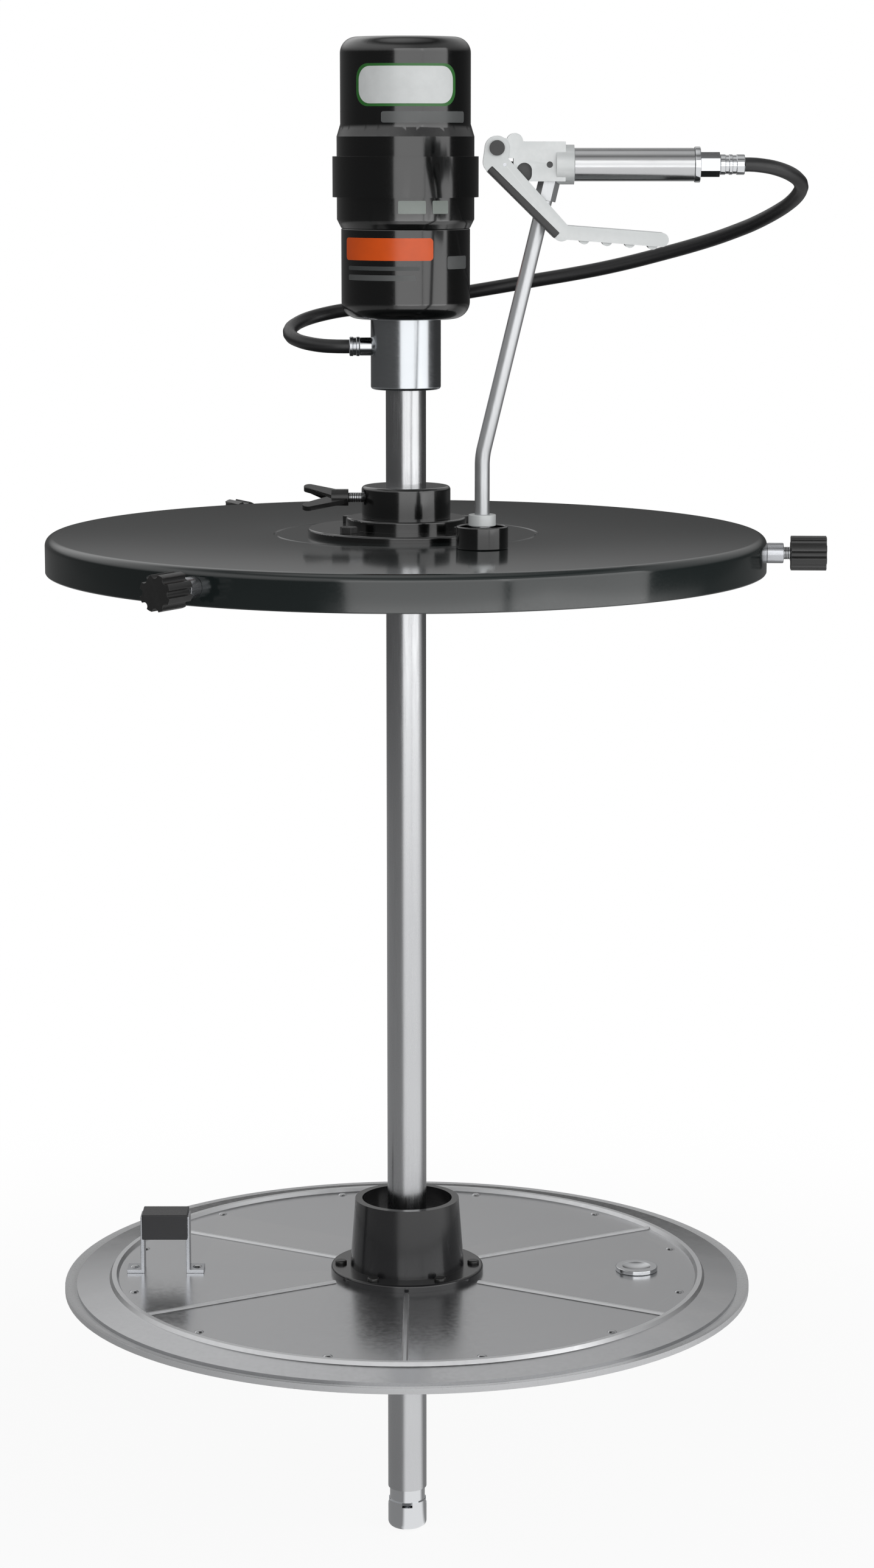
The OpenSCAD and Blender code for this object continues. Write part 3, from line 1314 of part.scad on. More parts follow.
module pipe_nut() {
    color(bright_steel) along_pipe() translate([0, 0, -nut_seat]) difference() {
        hex_prism(pipe_nut_af, pipe_nut_l + nut_seat);
        translate([0, 0, -cut]) cylinder(r = pipe_r + seat_gap, h = pipe_nut_l + nut_seat + 2 * cut);
    }
}

// Points of the outlet tube's middle line, its ends longer by extra
function pipe_points(extra) = let (
    down = [-sin(pipe_lean), 0, -cos(pipe_lean)],
    port = [holder_x + port_x, -holder_y, gun_axis_z + port_z],
    centre = [holder_x + pipe_bend_r, -holder_y, gun_axis_z + bend_z - bend_leg])
    concat([port - down * (nut_seat + extra)],
           [for (k = [pipe_bend_steps : -1 : 0]) let (a = k * pipe_lean / pipe_bend_steps) centre + pipe_bend_r * [-cos(a), 0, sin(a)]],
           [[holder_x, -holder_y, pipe_foot_z - extra]]);

module outlet_pipe() {
    color(bright_steel) difference() {
        swept(pipe_points(0), pipe_r, pipe_sides, [0, 1, 0]);
        swept(pipe_points(cut), pipe_bore_r, pipe_sides, [0, 1, 0]);
    }
}

module coupler_collar() {
    color(pale_cast) translate([holder_x, -holder_y, collar_z]) ring(collar_nut_r, pipe_bore_r, collar_nut_h);
}

module coupler() {
    color(bright_steel) translate([holder_x, -holder_y, coupler_z]) difference() {
        foot_rounded(coupler_r, coupler_l, coupler_r / 4);
        translate([0, 0, -cut]) cylinder(r = mouth_r, h = mouth_d + cut);
        cylinder(r = mouth_r / 2, h = coupler_l + cut);
    }
}

// The lever's side, from its rounded nose to its elbow
module arm_side() {
    knuckle = [pivot_x - knuckle_shift, pivot_z - knuckle_drop];
    bar2d([pivot_x, pivot_z], knuckle_r, knuckle, knuckle_r);
    bar2d(knuckle, knuckle_r, [elbow_x, -elbow_z], arm_r);
}

// The lever's grip seen from the side
module grip_side() {
    bar2d([elbow_x, -elbow_z], lever_grip_r, [elbow_x + lever_grip_l, -elbow_z - lever_grip_fall], lever_grip_r);
}

module lever() {
    grip_slope = atan(lever_grip_fall / lever_grip_l);
    color(pale_cast) difference() {
        union() {
            for (s = [-1, 1]) translate([0, s * (arm_in + arm_t / 2), 0]) gun_plate(arm_t) arm_side();
            difference() {
                gun_plate(2 * arm_out) grip_side();
                gun_plate(2 * arm_in) translate([0, lever_web]) grip_side();
            }
            // finger ridges under the grip
            for (k = [1 : ridges_n]) across_gun(elbow_x + k * ridge_pitch, -elbow_z - lever_grip_r - k * ridge_pitch * tan(grip_slope) + lever_web / 2)
                translate([0, 0, -arm_in]) difference() {
                    cylinder(r = ridge_r, h = 2 * arm_in);
                    translate([-ridge_r - cut, 0, -cut]) cube([2 * (ridge_r + cut), ridge_r + cut, 2 * (arm_in + cut)]);
                }
        }
        // bores of the pivot pin and the roller
        across_gun(pivot_x, pivot_z) translate([0, 0, -arm_out - cut]) cylinder(r = pivot_r + run_gap, h = 2 * (arm_out + cut));
        across_gun(roller_x, 0) translate([0, 0, -arm_out - cut]) cylinder(r = roller_pin_r + seat_gap / 2, h = 2 * (arm_out + cut));
    }
}
roller_pin_r = roller_r * 0.6;

module lever_roller() {
    color(satin_steel) across_gun(roller_x, 0) {
        translate([0, 0, -arm_in + seat_gap]) cylinder(r = roller_r, h = 2 * (arm_in - seat_gap));
        translate([0, 0, -arm_out]) cylinder(r = roller_pin_r, h = 2 * arm_out);
    }
}

module valve_stem() {
    color(bright_steel) {
        at_gun_x(stem_tip, 0) cylinder(r = stem_r, h = poppet_x - stem_tip);
        at_gun_x(poppet_x, 0) cylinder(r = poppet_r, h = poppet_l);
    }
}

module valve_spring() {
    color(satin_steel) at_gun_x(spring_x, 0) ring(spring_r, spring_r - spring_wire, spring_stop_x - seat_gap - spring_x);
}

module swivel_nut() {
    color(bright_steel) difference() {
        union() {
            at_gun_x(swivel_start, 0) hex_prism(swivel_af, swivel_l);
            at_gun_x(swivel_start - swivel_spigot_l, 0) cylinder(r = swivel_r, h = swivel_spigot_l);
        }
        at_gun_x(swivel_start - swivel_spigot_l - cut, 0) cylinder(r = outlet_bore_r, h = swivel_spigot_l + swivel_l + 2 * cut);
    }
}

module gun_ferrule() {
    color(satin_steel) at_gun_x(swivel_stop, 0) ring(ferrule_r, outlet_bore_r, gun_ferrule_l);
}

module hose() {
    color(rubber_black) swept(hose_points, hose_d / 2, hose_sides, [0, 0, 1]);
}

drum_cover();
cover_gasket();
cover_hub();
hub_seal();
hub_bolts();
hub_nuts();
gun_holder();
rim_bosses();
clamp_pad();
clamp_screw();
rim_pad_right();
rim_screw_right();
rim_pad_back();
rim_screw_back();
rim_pad_front();
rim_screw_front();
motor_base();
motor_band();
motor_cap();
air_inlet();
muffler();
motor_labels();
outlet_housing();
rod_packing();
outlet_fitting();
pump_ferrule();
suction_tube();
foot_valve();
air_piston();
piston_seal();
piston_rod();
plunger();
plunger_ball();
foot_ball();
air_spool();
spool_ring();
follower_plate();
follower_lip();
lip_clamp_ring();
wiper_hub();
wiper_screws();
follower_strap();
follower_rivets();
follower_grip();
vent_plug();
gun_body();
gun_handle();
handle_end();
pivot_pin();
pipe_nut();
outlet_pipe();
coupler_collar();
coupler();
lever();
lever_roller();
valve_stem();
valve_spring();
swivel_nut();
gun_ferrule();
hose();
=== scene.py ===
import json
import math

import bpy
from mathutils import Matrix, Vector

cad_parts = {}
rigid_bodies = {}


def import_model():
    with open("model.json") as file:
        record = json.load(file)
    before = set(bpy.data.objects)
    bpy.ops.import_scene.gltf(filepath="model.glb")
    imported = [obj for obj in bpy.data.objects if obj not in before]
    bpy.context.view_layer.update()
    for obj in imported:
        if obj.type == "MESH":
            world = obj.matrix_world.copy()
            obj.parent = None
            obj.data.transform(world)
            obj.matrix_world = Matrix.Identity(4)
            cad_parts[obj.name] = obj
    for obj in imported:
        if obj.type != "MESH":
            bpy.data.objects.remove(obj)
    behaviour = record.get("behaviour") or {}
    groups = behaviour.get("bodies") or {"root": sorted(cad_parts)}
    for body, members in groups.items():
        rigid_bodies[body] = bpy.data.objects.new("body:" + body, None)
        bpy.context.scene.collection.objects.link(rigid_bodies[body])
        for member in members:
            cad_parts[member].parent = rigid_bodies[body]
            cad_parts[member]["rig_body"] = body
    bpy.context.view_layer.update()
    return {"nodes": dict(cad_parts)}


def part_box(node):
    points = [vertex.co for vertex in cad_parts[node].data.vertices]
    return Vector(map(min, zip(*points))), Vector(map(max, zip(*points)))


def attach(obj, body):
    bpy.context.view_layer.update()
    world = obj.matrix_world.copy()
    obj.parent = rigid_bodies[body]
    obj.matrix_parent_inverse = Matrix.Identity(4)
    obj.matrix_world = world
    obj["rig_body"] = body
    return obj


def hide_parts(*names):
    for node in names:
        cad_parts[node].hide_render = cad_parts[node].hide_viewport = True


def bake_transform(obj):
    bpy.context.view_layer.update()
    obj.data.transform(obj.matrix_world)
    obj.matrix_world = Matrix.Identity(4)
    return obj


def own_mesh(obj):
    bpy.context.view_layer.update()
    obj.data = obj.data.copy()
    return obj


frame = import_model()

# Camera: three metres in front of the pump, level with the motor and looking slightly down, so
# that the cover and the follower show as flat ellipses.
LENS_MM = 84.89
SENSOR_MM = 36.0
CAMERA_AT = (0.0258, -3.074, 0.327)
CAMERA_DOWN_DEG = 9.84
CAMERA_NEAREST = 0.05
bpy.ops.object.select_all(action="DESELECT")
bpy.ops.object.camera_add(location=CAMERA_AT, rotation=(math.radians(90 - CAMERA_DOWN_DEG), 0, 0))
camera = bpy.context.object
camera.data.sensor_width = SENSOR_MM
camera.data.lens = LENS_MM
camera.data.clip_start = CAMERA_NEAREST
bpy.context.scene.camera = camera
bpy.context.scene.view_settings.view_transform = "Standard"


# Hose: black rubber hose of 11.5 mm from the fitting on the pump's left, round behind the motor
# and out to the ferrule on the gun. It is one hose, made as two lengths that meet behind the
# motor on the right.
DRIFT_SHARE = 0.5
COAT_GLOSS = 0.1
HOSE_R = 0.00575
HOSE_SIDES = 24
HOSE_STEP = 0.004
HOSE_MM = [
    (-46.4, 0, 161), (-56.2, 0.5, 161), (-68.5, 3.9, 161.4), (-79.4, 10.3, 162.6), (-88.2, 19.3, 164.3),
    (-94.5, 30.3, 166.6), (-97.6, 42.6, 169.4), (-97.5, 55.2, 172.5), (-94.1, 67.5, 175.6),
    (-87.7, 78.4, 178.7), (-78.7, 87.2, 181.5), (-67.7, 93.5, 184), (-55.4, 96.6, 186.2),
    (-36, 98.3, 188.6), (-10, 98.9, 192.2), (12, 97.6, 195.3), (35, 95.2, 199), (58, 92, 203),
    (84.5, 87.9, 207.6), (110.9, 83.6, 212.5), (137.3, 78.8, 217.1), (163.5, 73.2, 222.2),
    (189.1, 66.3, 228.2), (214.1, 57.8, 235), (238, 47, 242), (260.4, 33.5, 249.6), (280.4, 17, 257.9),
    (289.4, 7.2, 262.4), (297.4, -3.6, 267.1), (304.3, -15.2, 271.8), (310, -27.6, 276.4),
    (314.2, -40.7, 281), (317, -54.2, 285.8), (318.2, -67.2, 290.8), (316.3, -80.4, 295.5),
    (310.9, -92.5, 300.2), (302.4, -102.7, 304.4), (290.6, -110.5, 307.9), (277.1, -114.5, 309.8),
    (268.4, -115, 310)]
HOSE_SPLIT = 19
NEAR_BEND = ((-0.048, 0.098, 0.187), (0.137, 0.098, 0.187))
FAR_BEND = ((0.14, 0.085, 0.21), (0.284, -0.082, 0.291))


def effect_group(name, inputs, outputs):
    """An empty shader effect with these inputs and outputs, each a socket's name and kind."""
    group = bpy.data.node_groups.new(name, "ShaderNodeTree")
    for in_out, sockets in (("INPUT", inputs), ("OUTPUT", outputs)):
        for socket, kind in sockets.items():
            group.interface.new_socket(socket, in_out=in_out, socket_type="NodeSocket" + kind)
    return group, group.nodes.new("NodeGroupInput"), group.nodes.new("NodeGroupOutput")


def ranged(nodes, low, high, to_low=0.0, to_high=1.0):
    """A node that turns values from low to high into values from to_low to to_high."""
    node = nodes.new("ShaderNodeMapRange")
    for socket, value in (("From Min", low), ("From Max", high), ("To Min", to_low), ("To Max", to_high)):
        node.inputs[socket].default_value = value
    return node


def clouds(nodes, scale, detail, roughness=0.5):
    """A noise node of this scale, detail and roughness."""
    node = nodes.new("ShaderNodeTexNoise")
    for socket, value in (("Scale", scale), ("Detail", detail), ("Roughness", roughness)):
        node.inputs[socket].default_value = value
    return node


def times(nodes):
    """A node that multiplies its two values."""
    node = nodes.new("ShaderNodeMath")
    node.operation = "MULTIPLY"
    return node


def colour_mix(nodes):
    """A node that mixes the colours at inputs 6 and 7 by its Factor, into output 2."""
    node = nodes.new("ShaderNodeMix")
    node.data_type = "RGBA"
    return node


def drift_effect():
    """Two colours that run into each other over a surface."""
    inputs = {"Vector": "Vector", "Scale": "Float", "Main": "Color", "Other": "Color", "Share": "Float"}
    group, start, end = effect_group("colour_drift", inputs, {"Color": "Color"})
    cloud = clouds(group.nodes, 1.0, 5, roughness=0.6)
    spread = ranged(group.nodes, 0.35, 0.7)
    share = times(group.nodes)
    mix = colour_mix(group.nodes)
    link = group.links.new
    link(start.outputs["Vector"], cloud.inputs["Vector"])
    link(start.outputs["Scale"], cloud.inputs["Scale"])
    link(cloud.outputs["Fac"], spread.inputs["Value"])
    link(spread.outputs["Result"], share.inputs[0])
    link(start.outputs["Share"], share.inputs[1])
    link(share.outputs["Value"], mix.inputs["Factor"])
    link(start.outputs["Main"], mix.inputs[6])
    link(start.outputs["Other"], mix.inputs[7])
    link(mix.outputs[2], end.inputs["Color"])
    return group


def marks_effect():
    """Fine marks, longer the way that Fineness is low: a value between Low and High, and a height."""
    inputs = {"Vector": "Vector", "Fineness": "Vector", "Low": "Float", "High": "Float"}
    group, start, end = effect_group("fine_marks", inputs, {"Value": "Float", "Height": "Float"})
    draw_out = group.nodes.new("ShaderNodeVectorMath")
    draw_out.operation = "MULTIPLY"
    grain = clouds(group.nodes, 1.0, 3)
    spread = ranged(group.nodes, 0.3, 0.7)
    link = group.links.new
    link(start.outputs["Vector"], draw_out.inputs[0])
    link(start.outputs["Fineness"], draw_out.inputs[1])
    link(draw_out.outputs["Vector"], grain.inputs["Vector"])
    link(grain.outputs["Fac"], spread.inputs["Value"])
    link(start.outputs["Low"], spread.inputs["To Min"])
    link(start.outputs["High"], spread.inputs["To Max"])
    link(spread.outputs["Result"], end.inputs["Value"])
    link(grain.outputs["Fac"], end.inputs["Height"])
    return group


def edge_effect():
    """Where an edge stands proud: from 0 on flat faces to 1 on worn corners, broken up by a grain."""
    inputs = {"Vector": "Vector", "Wear": "Float"}
    group, start, end = effect_group("worn_edges", inputs, {"Mask": "Float"})
    shape = group.nodes.new("ShaderNodeNewGeometry")
    proud = ranged(group.nodes, 0.54, 0.64)
    grain = clouds(group.nodes, 260, 4)
    broken = times(group.nodes)
    worn = times(group.nodes)
    worn.use_clamp = True
    link = group.links.new
    link(shape.outputs["Pointiness"], proud.inputs["Value"])
    link(start.outputs["Vector"], grain.inputs["Vector"])
    link(proud.outputs["Result"], broken.inputs[0])
    link(grain.outputs["Fac"], broken.inputs[1])
    link(broken.outputs["Value"], worn.inputs[0])
    link(start.outputs["Wear"], worn.inputs[1])
    link(worn.outputs["Value"], end.inputs["Mask"])
    return group


colour_drift = drift_effect()
fine_marks = marks_effect()
worn_edges = edge_effect()


def finish(name, main, other, drift=12.0, metallic=0.0, gloss=(0.3, 0.4), marks=(400, 400, 400), relief=0.1,
           depth=0.00005, coat=0.0, worn=(0.3, 0.3, 0.3), wear=0.0):
    """A material: main drifts into other, gloss and relief follow fine marks, and edges wear towards worn."""
    material = bpy.data.materials.new(name)
    material.use_nodes = True
    material.diffuse_color = (*main, 1)
    nodes, link = material.node_tree.nodes, material.node_tree.links.new
    surface = nodes["Principled BSDF"]
    surface.inputs["Metallic"].default_value = metallic
    surface.inputs["Coat Weight"].default_value = coat
    surface.inputs["Coat Roughness"].default_value = COAT_GLOSS
    place = nodes.new("ShaderNodeTexCoord")
    colours = nodes.new("ShaderNodeGroup")
    colours.node_tree = colour_drift
    colours.inputs["Scale"].default_value = drift
    colours.inputs["Main"].default_value = (*main, 1)
    colours.inputs["Other"].default_value = (*other, 1)
    colours.inputs["Share"].default_value = DRIFT_SHARE
    link(place.outputs["Object"], colours.inputs["Vector"])
    colour = colours.outputs["Color"]
    if wear:
        edges = nodes.new("ShaderNodeGroup")
        edges.node_tree = worn_edges
        edges.inputs["Wear"].default_value = wear
        link(place.outputs["Object"], edges.inputs["Vector"])
        rubbed = colour_mix(nodes)
        rubbed.inputs[7].default_value = (*worn, 1)
        link(edges.outputs["Mask"], rubbed.inputs["Factor"])
        link(colour, rubbed.inputs[6])
        colour = rubbed.outputs[2]
    grain = nodes.new("ShaderNodeGroup")
    grain.node_tree = fine_marks
    grain.inputs["Fineness"].default_value = marks
    grain.inputs["Low"].default_value = gloss[0]
    grain.inputs["High"].default_value = gloss[1]
    link(place.outputs["Object"], grain.inputs["Vector"])
    raised = nodes.new("ShaderNodeBump")
    raised.inputs["Strength"].default_value = relief
    raised.inputs["Distance"].default_value = depth
    link(grain.outputs["Height"], raised.inputs["Height"])
    link(colour, surface.inputs["Base Color"])
    link(grain.outputs["Value"], surface.inputs["Roughness"])
    link(raised.outputs["Normal"], surface.inputs["Normal"])
    return material


def smooth_line(points, step):
    """Points every step metres or so along a smooth line through the given ones."""
    ends = [points[0] * 2 - points[1]] + points + [points[-1] * 2 - points[-2]]
    line = [points[0]]
    for a, b, c, d in zip(ends, ends[1:], ends[2:], ends[3:]):
        count = max(2, round((c - b).length / step))
        for k in range(1, count + 1):
            t = k / count
            square, cube = 2 * a - 5 * b + 4 * c - d, 3 * b - a - 3 * c + d
            line.append(0.5 * (2 * b + (c - a) * t + square * t * t + cube * t ** 3))
    return line


def round_tube(name, line, radius, sides, material):
    """A round tube with closed ends along the line."""
    curve = bpy.data.curves.new(name, "CURVE")
    curve.dimensions = "3D"
    spline = curve.splines.new("POLY")
    spline.points.add(len(line) - 1)
    for point, at in zip(spline.points, line):
        point.co = (*at, 1)
    curve.bevel_depth = radius
    curve.bevel_resolution = sides // 4 - 2
    curve.use_fill_caps = True
    holder = bpy.data.objects.new(name, curve)
    bpy.context.collection.objects.link(holder)
    bpy.ops.object.select_all(action="DESELECT")
    holder.select_set(True)
    bpy.context.view_layer.objects.active = holder
    bpy.ops.object.convert(target="MESH")
    tube = bpy.context.object
    tube.name = name
    bpy.ops.object.shade_smooth()
    tube.data.materials.clear()
    tube.data.materials.append(material)
    return tube


hose_rubber = finish("hose_rubber", (0.012, 0.012, 0.013), (0.02, 0.02, 0.021), gloss=(0.34, 0.46),
                     marks=(900, 900, 900), relief=0.25)
hose_points = [Vector(point) / 1000 for point in HOSE_MM]
hose_line = smooth_line(hose_points, HOSE_STEP)
split = min(range(len(hose_line)), key=lambda i: (hose_line[i] - hose_points[HOSE_SPLIT]).length)
for name, line, bodies, bend in (("hose_near", hose_line[:split + 1], ("pump", "cover"), NEAR_BEND),
                                 ("hose_far", hose_line[split:], ("cover", "gun"), FAR_BEND)):
    hose = round_tube(name, line, HOSE_R, HOSE_SIDES, hose_rubber)
    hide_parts("hose")
    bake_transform(hose)

# Floor: a plain pale floor under the pump's foot, white to the camera but for the pump's shadow.
# Polished metal sees it bright to the front and right, dim elsewhere and dimmer far off.
FLOOR_Z = -0.8655
FLOOR_SIZE = 16.0
FLOOR_GLOSS = 0.6
FLOOR_LIGHTS = 0.45
FLOOR_SHOWS = 0.88
SHADOW_R = 0.55
SHADOW_END_R = 1.5
SHADOW_WHITE = 0.92
# where its sheen rises from dim to bright, as shares of the way to the right and to the back
SHEEN_RIGHT = (-0.45, -0.20)
SHEEN_FRONT = (0.3, -0.1)
SHEEN_BRIGHT = 1.25
SHEEN_FAR_R, SHEEN_NEAR_R = 5.2, 3.0
SHEEN_FAR, SHEEN_NEAR = 0.12, 0.36
bpy.ops.object.select_all(action="DESELECT")
bpy.ops.mesh.primitive_plane_add(size=FLOOR_SIZE, location=(0, 0, FLOOR_Z))
floor = bpy.context.object
floor.name = "floor"
floor_paint = bpy.data.materials.new("floor_paint")
floor_paint.use_nodes = True
floor.data.materials.append(floor_paint)
nodes, link = floor_paint.node_tree.nodes, floor_paint.node_tree.links.new
floor_path = nodes.new("ShaderNodeLightPath")
floor_place = nodes.new("ShaderNodeTexCoord")
# the floor as it lights the pump, and as the camera sees it: white, with the pump's shadow
floor_matt = nodes["Principled BSDF"]
floor_matt.inputs["Roughness"].default_value = FLOOR_GLOSS
floor_colour = colour_mix(nodes)
floor_colour.inputs[6].default_value = (FLOOR_LIGHTS, FLOOR_LIGHTS, FLOOR_LIGHTS, 1)
floor_colour.inputs[7].default_value = (FLOOR_SHOWS, FLOOR_SHOWS, FLOOR_SHOWS, 1)
floor_white = nodes.new("ShaderNodeEmission")
floor_off = nodes.new("ShaderNodeVectorMath")
floor_off.operation = "LENGTH"
floor_fade = ranged(nodes, SHADOW_R, SHADOW_END_R, SHADOW_WHITE, 1.0)
floor_fade.interpolation_type = "SMOOTHSTEP"
floor_seen = times(nodes)
floor_mix = nodes.new("ShaderNodeMixShader")
link(floor_path.outputs["Is Camera Ray"], floor_colour.inputs["Factor"])
link(floor_colour.outputs[2], floor_matt.inputs["Base Color"])
link(floor_place.outputs["Object"], floor_off.inputs[0])
link(floor_off.outputs["Value"], floor_fade.inputs["Value"])
link(floor_fade.outputs["Result"], floor_seen.inputs[0])
link(floor_path.outputs["Is Camera Ray"], floor_seen.inputs[1])
link(floor_seen.outputs["Value"], floor_mix.inputs["Fac"])
link(floor_matt.outputs["BSDF"], floor_mix.inputs[1])
link(floor_white.outputs["Emission"], floor_mix.inputs[2])
# the floor as polished metal sees it
floor_way = nodes.new("ShaderNodeVectorMath")
floor_way.operation = "NORMALIZE"
floor_parts = nodes.new("ShaderNodeSeparateXYZ")
floor_right = ranged(nodes, *SHEEN_RIGHT)
floor_front = ranged(nodes, *SHEEN_FRONT)
floor_bright = times(nodes)
floor_dim = ranged(nodes, SHEEN_FAR_R, SHEEN_NEAR_R, SHEEN_FAR, SHEEN_NEAR)
floor_mirrored = ranged(nodes, 0.0, 1.0, 0.0, SHEEN_BRIGHT)
floor_sheen = nodes.new("ShaderNodeEmission")
floor_all = nodes.new("ShaderNodeMixShader")
link(floor_place.outputs["Object"], floor_way.inputs[0])
link(floor_way.outputs["Vector"], floor_parts.inputs["Vector"])
link(floor_parts.outputs["X"], floor_right.inputs["Value"])
link(floor_parts.outputs["Y"], floor_front.inputs["Value"])
link(floor_right.outputs["Result"], floor_bright.inputs[0])
link(floor_front.outputs["Result"], floor_bright.inputs[1])
link(floor_bright.outputs["Value"], floor_mirrored.inputs["Value"])
link(floor_off.outputs["Value"], floor_dim.inputs["Value"])
link(floor_dim.outputs["Result"], floor_mirrored.inputs["To Min"])
link(floor_mirrored.outputs["Result"], floor_sheen.inputs["Strength"])
link(floor_path.outputs["Is Glossy Ray"], floor_all.inputs["Fac"])
link(floor_mix.outputs["Shader"], floor_all.inputs[1])
link(floor_sheen.outputs["Emission"], floor_all.inputs[2])
link(floor_all.outputs["Shader"], nodes["Material Output"].inputs["Surface"])

# Room: a white room, and white to the camera. Polished metal sees it dim below and level with
# the metal, bright well above, and a little brighter to the left than to the right.
ROOM_GREYS = ((0.0, 0.16), (0.50, 0.07), (0.55, 0.085), (0.64, 0.50), (0.74, 0.76), (0.84, 0.80),
              (0.93, 0.16), (1.0, 1.0))
ROOM_LIGHT = 0.42
ROOM_SIDE = 0.3
ROOM_LEFT, ROOM_RIGHT = 1.30, 0.70
room = bpy.data.worlds.new("room")
room.use_nodes = True
bpy.context.scene.world = room
nodes, link = room.node_tree.nodes, room.node_tree.links.new
room_light = nodes["Background"]
room_light.inputs["Color"].default_value = (1, 1, 1, 1)
room_light.inputs["Strength"].default_value = ROOM_LIGHT
room_seen = nodes.new("ShaderNodeBackground")
room_seen.inputs["Color"].default_value = (1, 1, 1, 1)
room_mirrored = nodes.new("ShaderNodeBackground")
room_way = nodes.new("ShaderNodeTexCoord")
room_parts = nodes.new("ShaderNodeSeparateXYZ")
room_height = nodes.new("ShaderNodeValToRGB")
# a grey for each height, from straight down at 0 to straight up at 1
heights = room_height.color_ramp.elements
for up, _ in ROOM_GREYS[1:-1]:
    heights.new(up)
for height, (_, grey) in zip(heights, ROOM_GREYS):
    height.color = (grey, grey, grey, 1)
room_up = ranged(nodes, -1.0, 1.0)
room_side = ranged(nodes, -ROOM_SIDE, ROOM_SIDE, ROOM_LEFT, ROOM_RIGHT)
room_path = nodes.new("ShaderNodeLightPath")
room_glossy = nodes.new("ShaderNodeMixShader")
room_all = nodes.new("ShaderNodeMixShader")
link(room_way.outputs["Generated"], room_parts.inputs["Vector"])
link(room_parts.outputs["Z"], room_up.inputs["Value"])
link(room_up.outputs["Result"], room_height.inputs["Fac"])
link(room_parts.outputs["X"], room_side.inputs["Value"])
link(room_height.outputs["Color"], room_mirrored.inputs["Color"])
link(room_side.outputs["Result"], room_mirrored.inputs["Strength"])
link(room_path.outputs["Is Glossy Ray"], room_glossy.inputs["Fac"])
link(room_light.outputs["Background"], room_glossy.inputs[1])
link(room_mirrored.outputs["Background"], room_glossy.inputs[2])
link(room_path.outputs["Is Camera Ray"], room_all.inputs["Fac"])
link(room_glossy.outputs["Shader"], room_all.inputs[1])
link(room_seen.outputs["Background"], room_all.inputs[2])
link(room_all.outputs["Shader"], nodes["World Output"].inputs["Surface"])

# Soft boxes: two lamps behind white cloth on stands, one in front of the pump and one to its
# right, both turned towards its middle.
BOX_AIM = Vector((0, 0, -0.1))
BOX_DISTANCE = 3.4
BOX_HEIGHT = 0.6
BOX_WIDE, BOX_TALL = 3.1, 2.6
BOX_WATTS = 44
for name, turn_deg in (("front_box", 6), ("side_box", 55)):
    turn = math.radians(turn_deg)
    at = Vector((math.sin(turn) * BOX_DISTANCE, -math.cos(turn) * BOX_DISTANCE, BOX_HEIGHT))
    bpy.ops.object.light_add(type="AREA", location=at)
    lamp = bpy.context.object
    lamp.name = name
    lamp.data.shape = "RECTANGLE"
    lamp.data.size = BOX_WIDE
    lamp.data.size_y = BOX_TALL
    lamp.data.energy = BOX_WATTS
    lamp.visible_camera = False
    lamp.rotation_euler = (BOX_AIM - at).to_track_quat("-Z", "Y").to_euler()

# Drum cover: pressed sheet steel with a turned-down skirt, sprayed dark grey-green, with a
# rubber gasket inside. The hub for the pump's tube is bolted through it with four screws, and
# the cup beside it holds the gun when it is put away.
MERGE = 0.000005
FLAT_DEG = 0.4
SHARP_DEG = 32
TURNED_SHARP_DEG = 28
DRILL_SIDES = 48
COVER_R = 0.300
COVER_TOP_Z = 0.006
COVER_FOOT_Z = -0.024
COVER_T = 0.002
COVER_BEND_R = 0.007
COVER_BEND_STEPS = 10
COVER_SIDES = 360
COVER_HOLE_R = 0.0301
COVER_HEM = ((0, 1 / 2), (1 / 4, 1 / 8), (1 / 2, 0), (3 / 4, 1 / 8), (1, 1 / 2))
GROOVE_R = 0.109
GROOVE_W = 0.003
GROOVE_D = 0.0006
BOLTS = 4
BOLT_TURN_DEG = 45
BOLT_CIRCLE_R = 0.066
BOLT_HOLE_R = 0.0041
RIM_SIDES = ("right", "back", "front")
RIM_TURN_DEG = -2.5
RIM_AXIS_Z = -0.009
SCREW_HOLE_R = 0.00505
POINT_RIGHT = Matrix.Rotation(math.radians(90), 4, "Y")
cover_spray = finish("cover_spray", (0.010, 0.014, 0.014), (0.014, 0.019, 0.019), drift=4, gloss=(0.10, 0.15),
                     marks=(500, 500, 500), relief=0.04, coat=0.3, worn=(0.08, 0.09, 0.09), wear=0.3)
black_enamel = finish("black_enamel", (0.0016, 0.0018, 0.0019), (0.0030, 0.0034, 0.0034), drift=9,
                      gloss=(0.14, 0.20), marks=(800, 800, 800), relief=0.06, coat=0.8,
                      worn=(0.09, 0.09, 0.09), wear=0.4)
dull_black = finish("dull_black", (0.010, 0.010, 0.010), (0.018, 0.018, 0.018), drift=30, gloss=(0.28, 0.38),
                    marks=(1200, 1200, 1200), relief=0.15, worn=(0.16, 0.16, 0.16), wear=0.7)
gasket_rubber = finish("gasket_rubber", (0.013, 0.013, 0.013), (0.024, 0.024, 0.024), gloss=(0.5, 0.65),
                       marks=(1200, 1200, 1200), relief=0.3)
turned_steel = finish("turned_steel", (0.40, 0.41, 0.43), (0.47, 0.48, 0.50), metallic=1, gloss=(0.22, 0.32),
                      marks=(260, 260, 2600), relief=0.06, worn=(0.6, 0.6, 0.61), wear=0.6)
plain_brass = finish("plain_brass", (0.60, 0.42, 0.17), (0.50, 0.35, 0.15), drift=40, metallic=1,
                     gloss=(0.22, 0.34), marks=(300, 300, 2500))


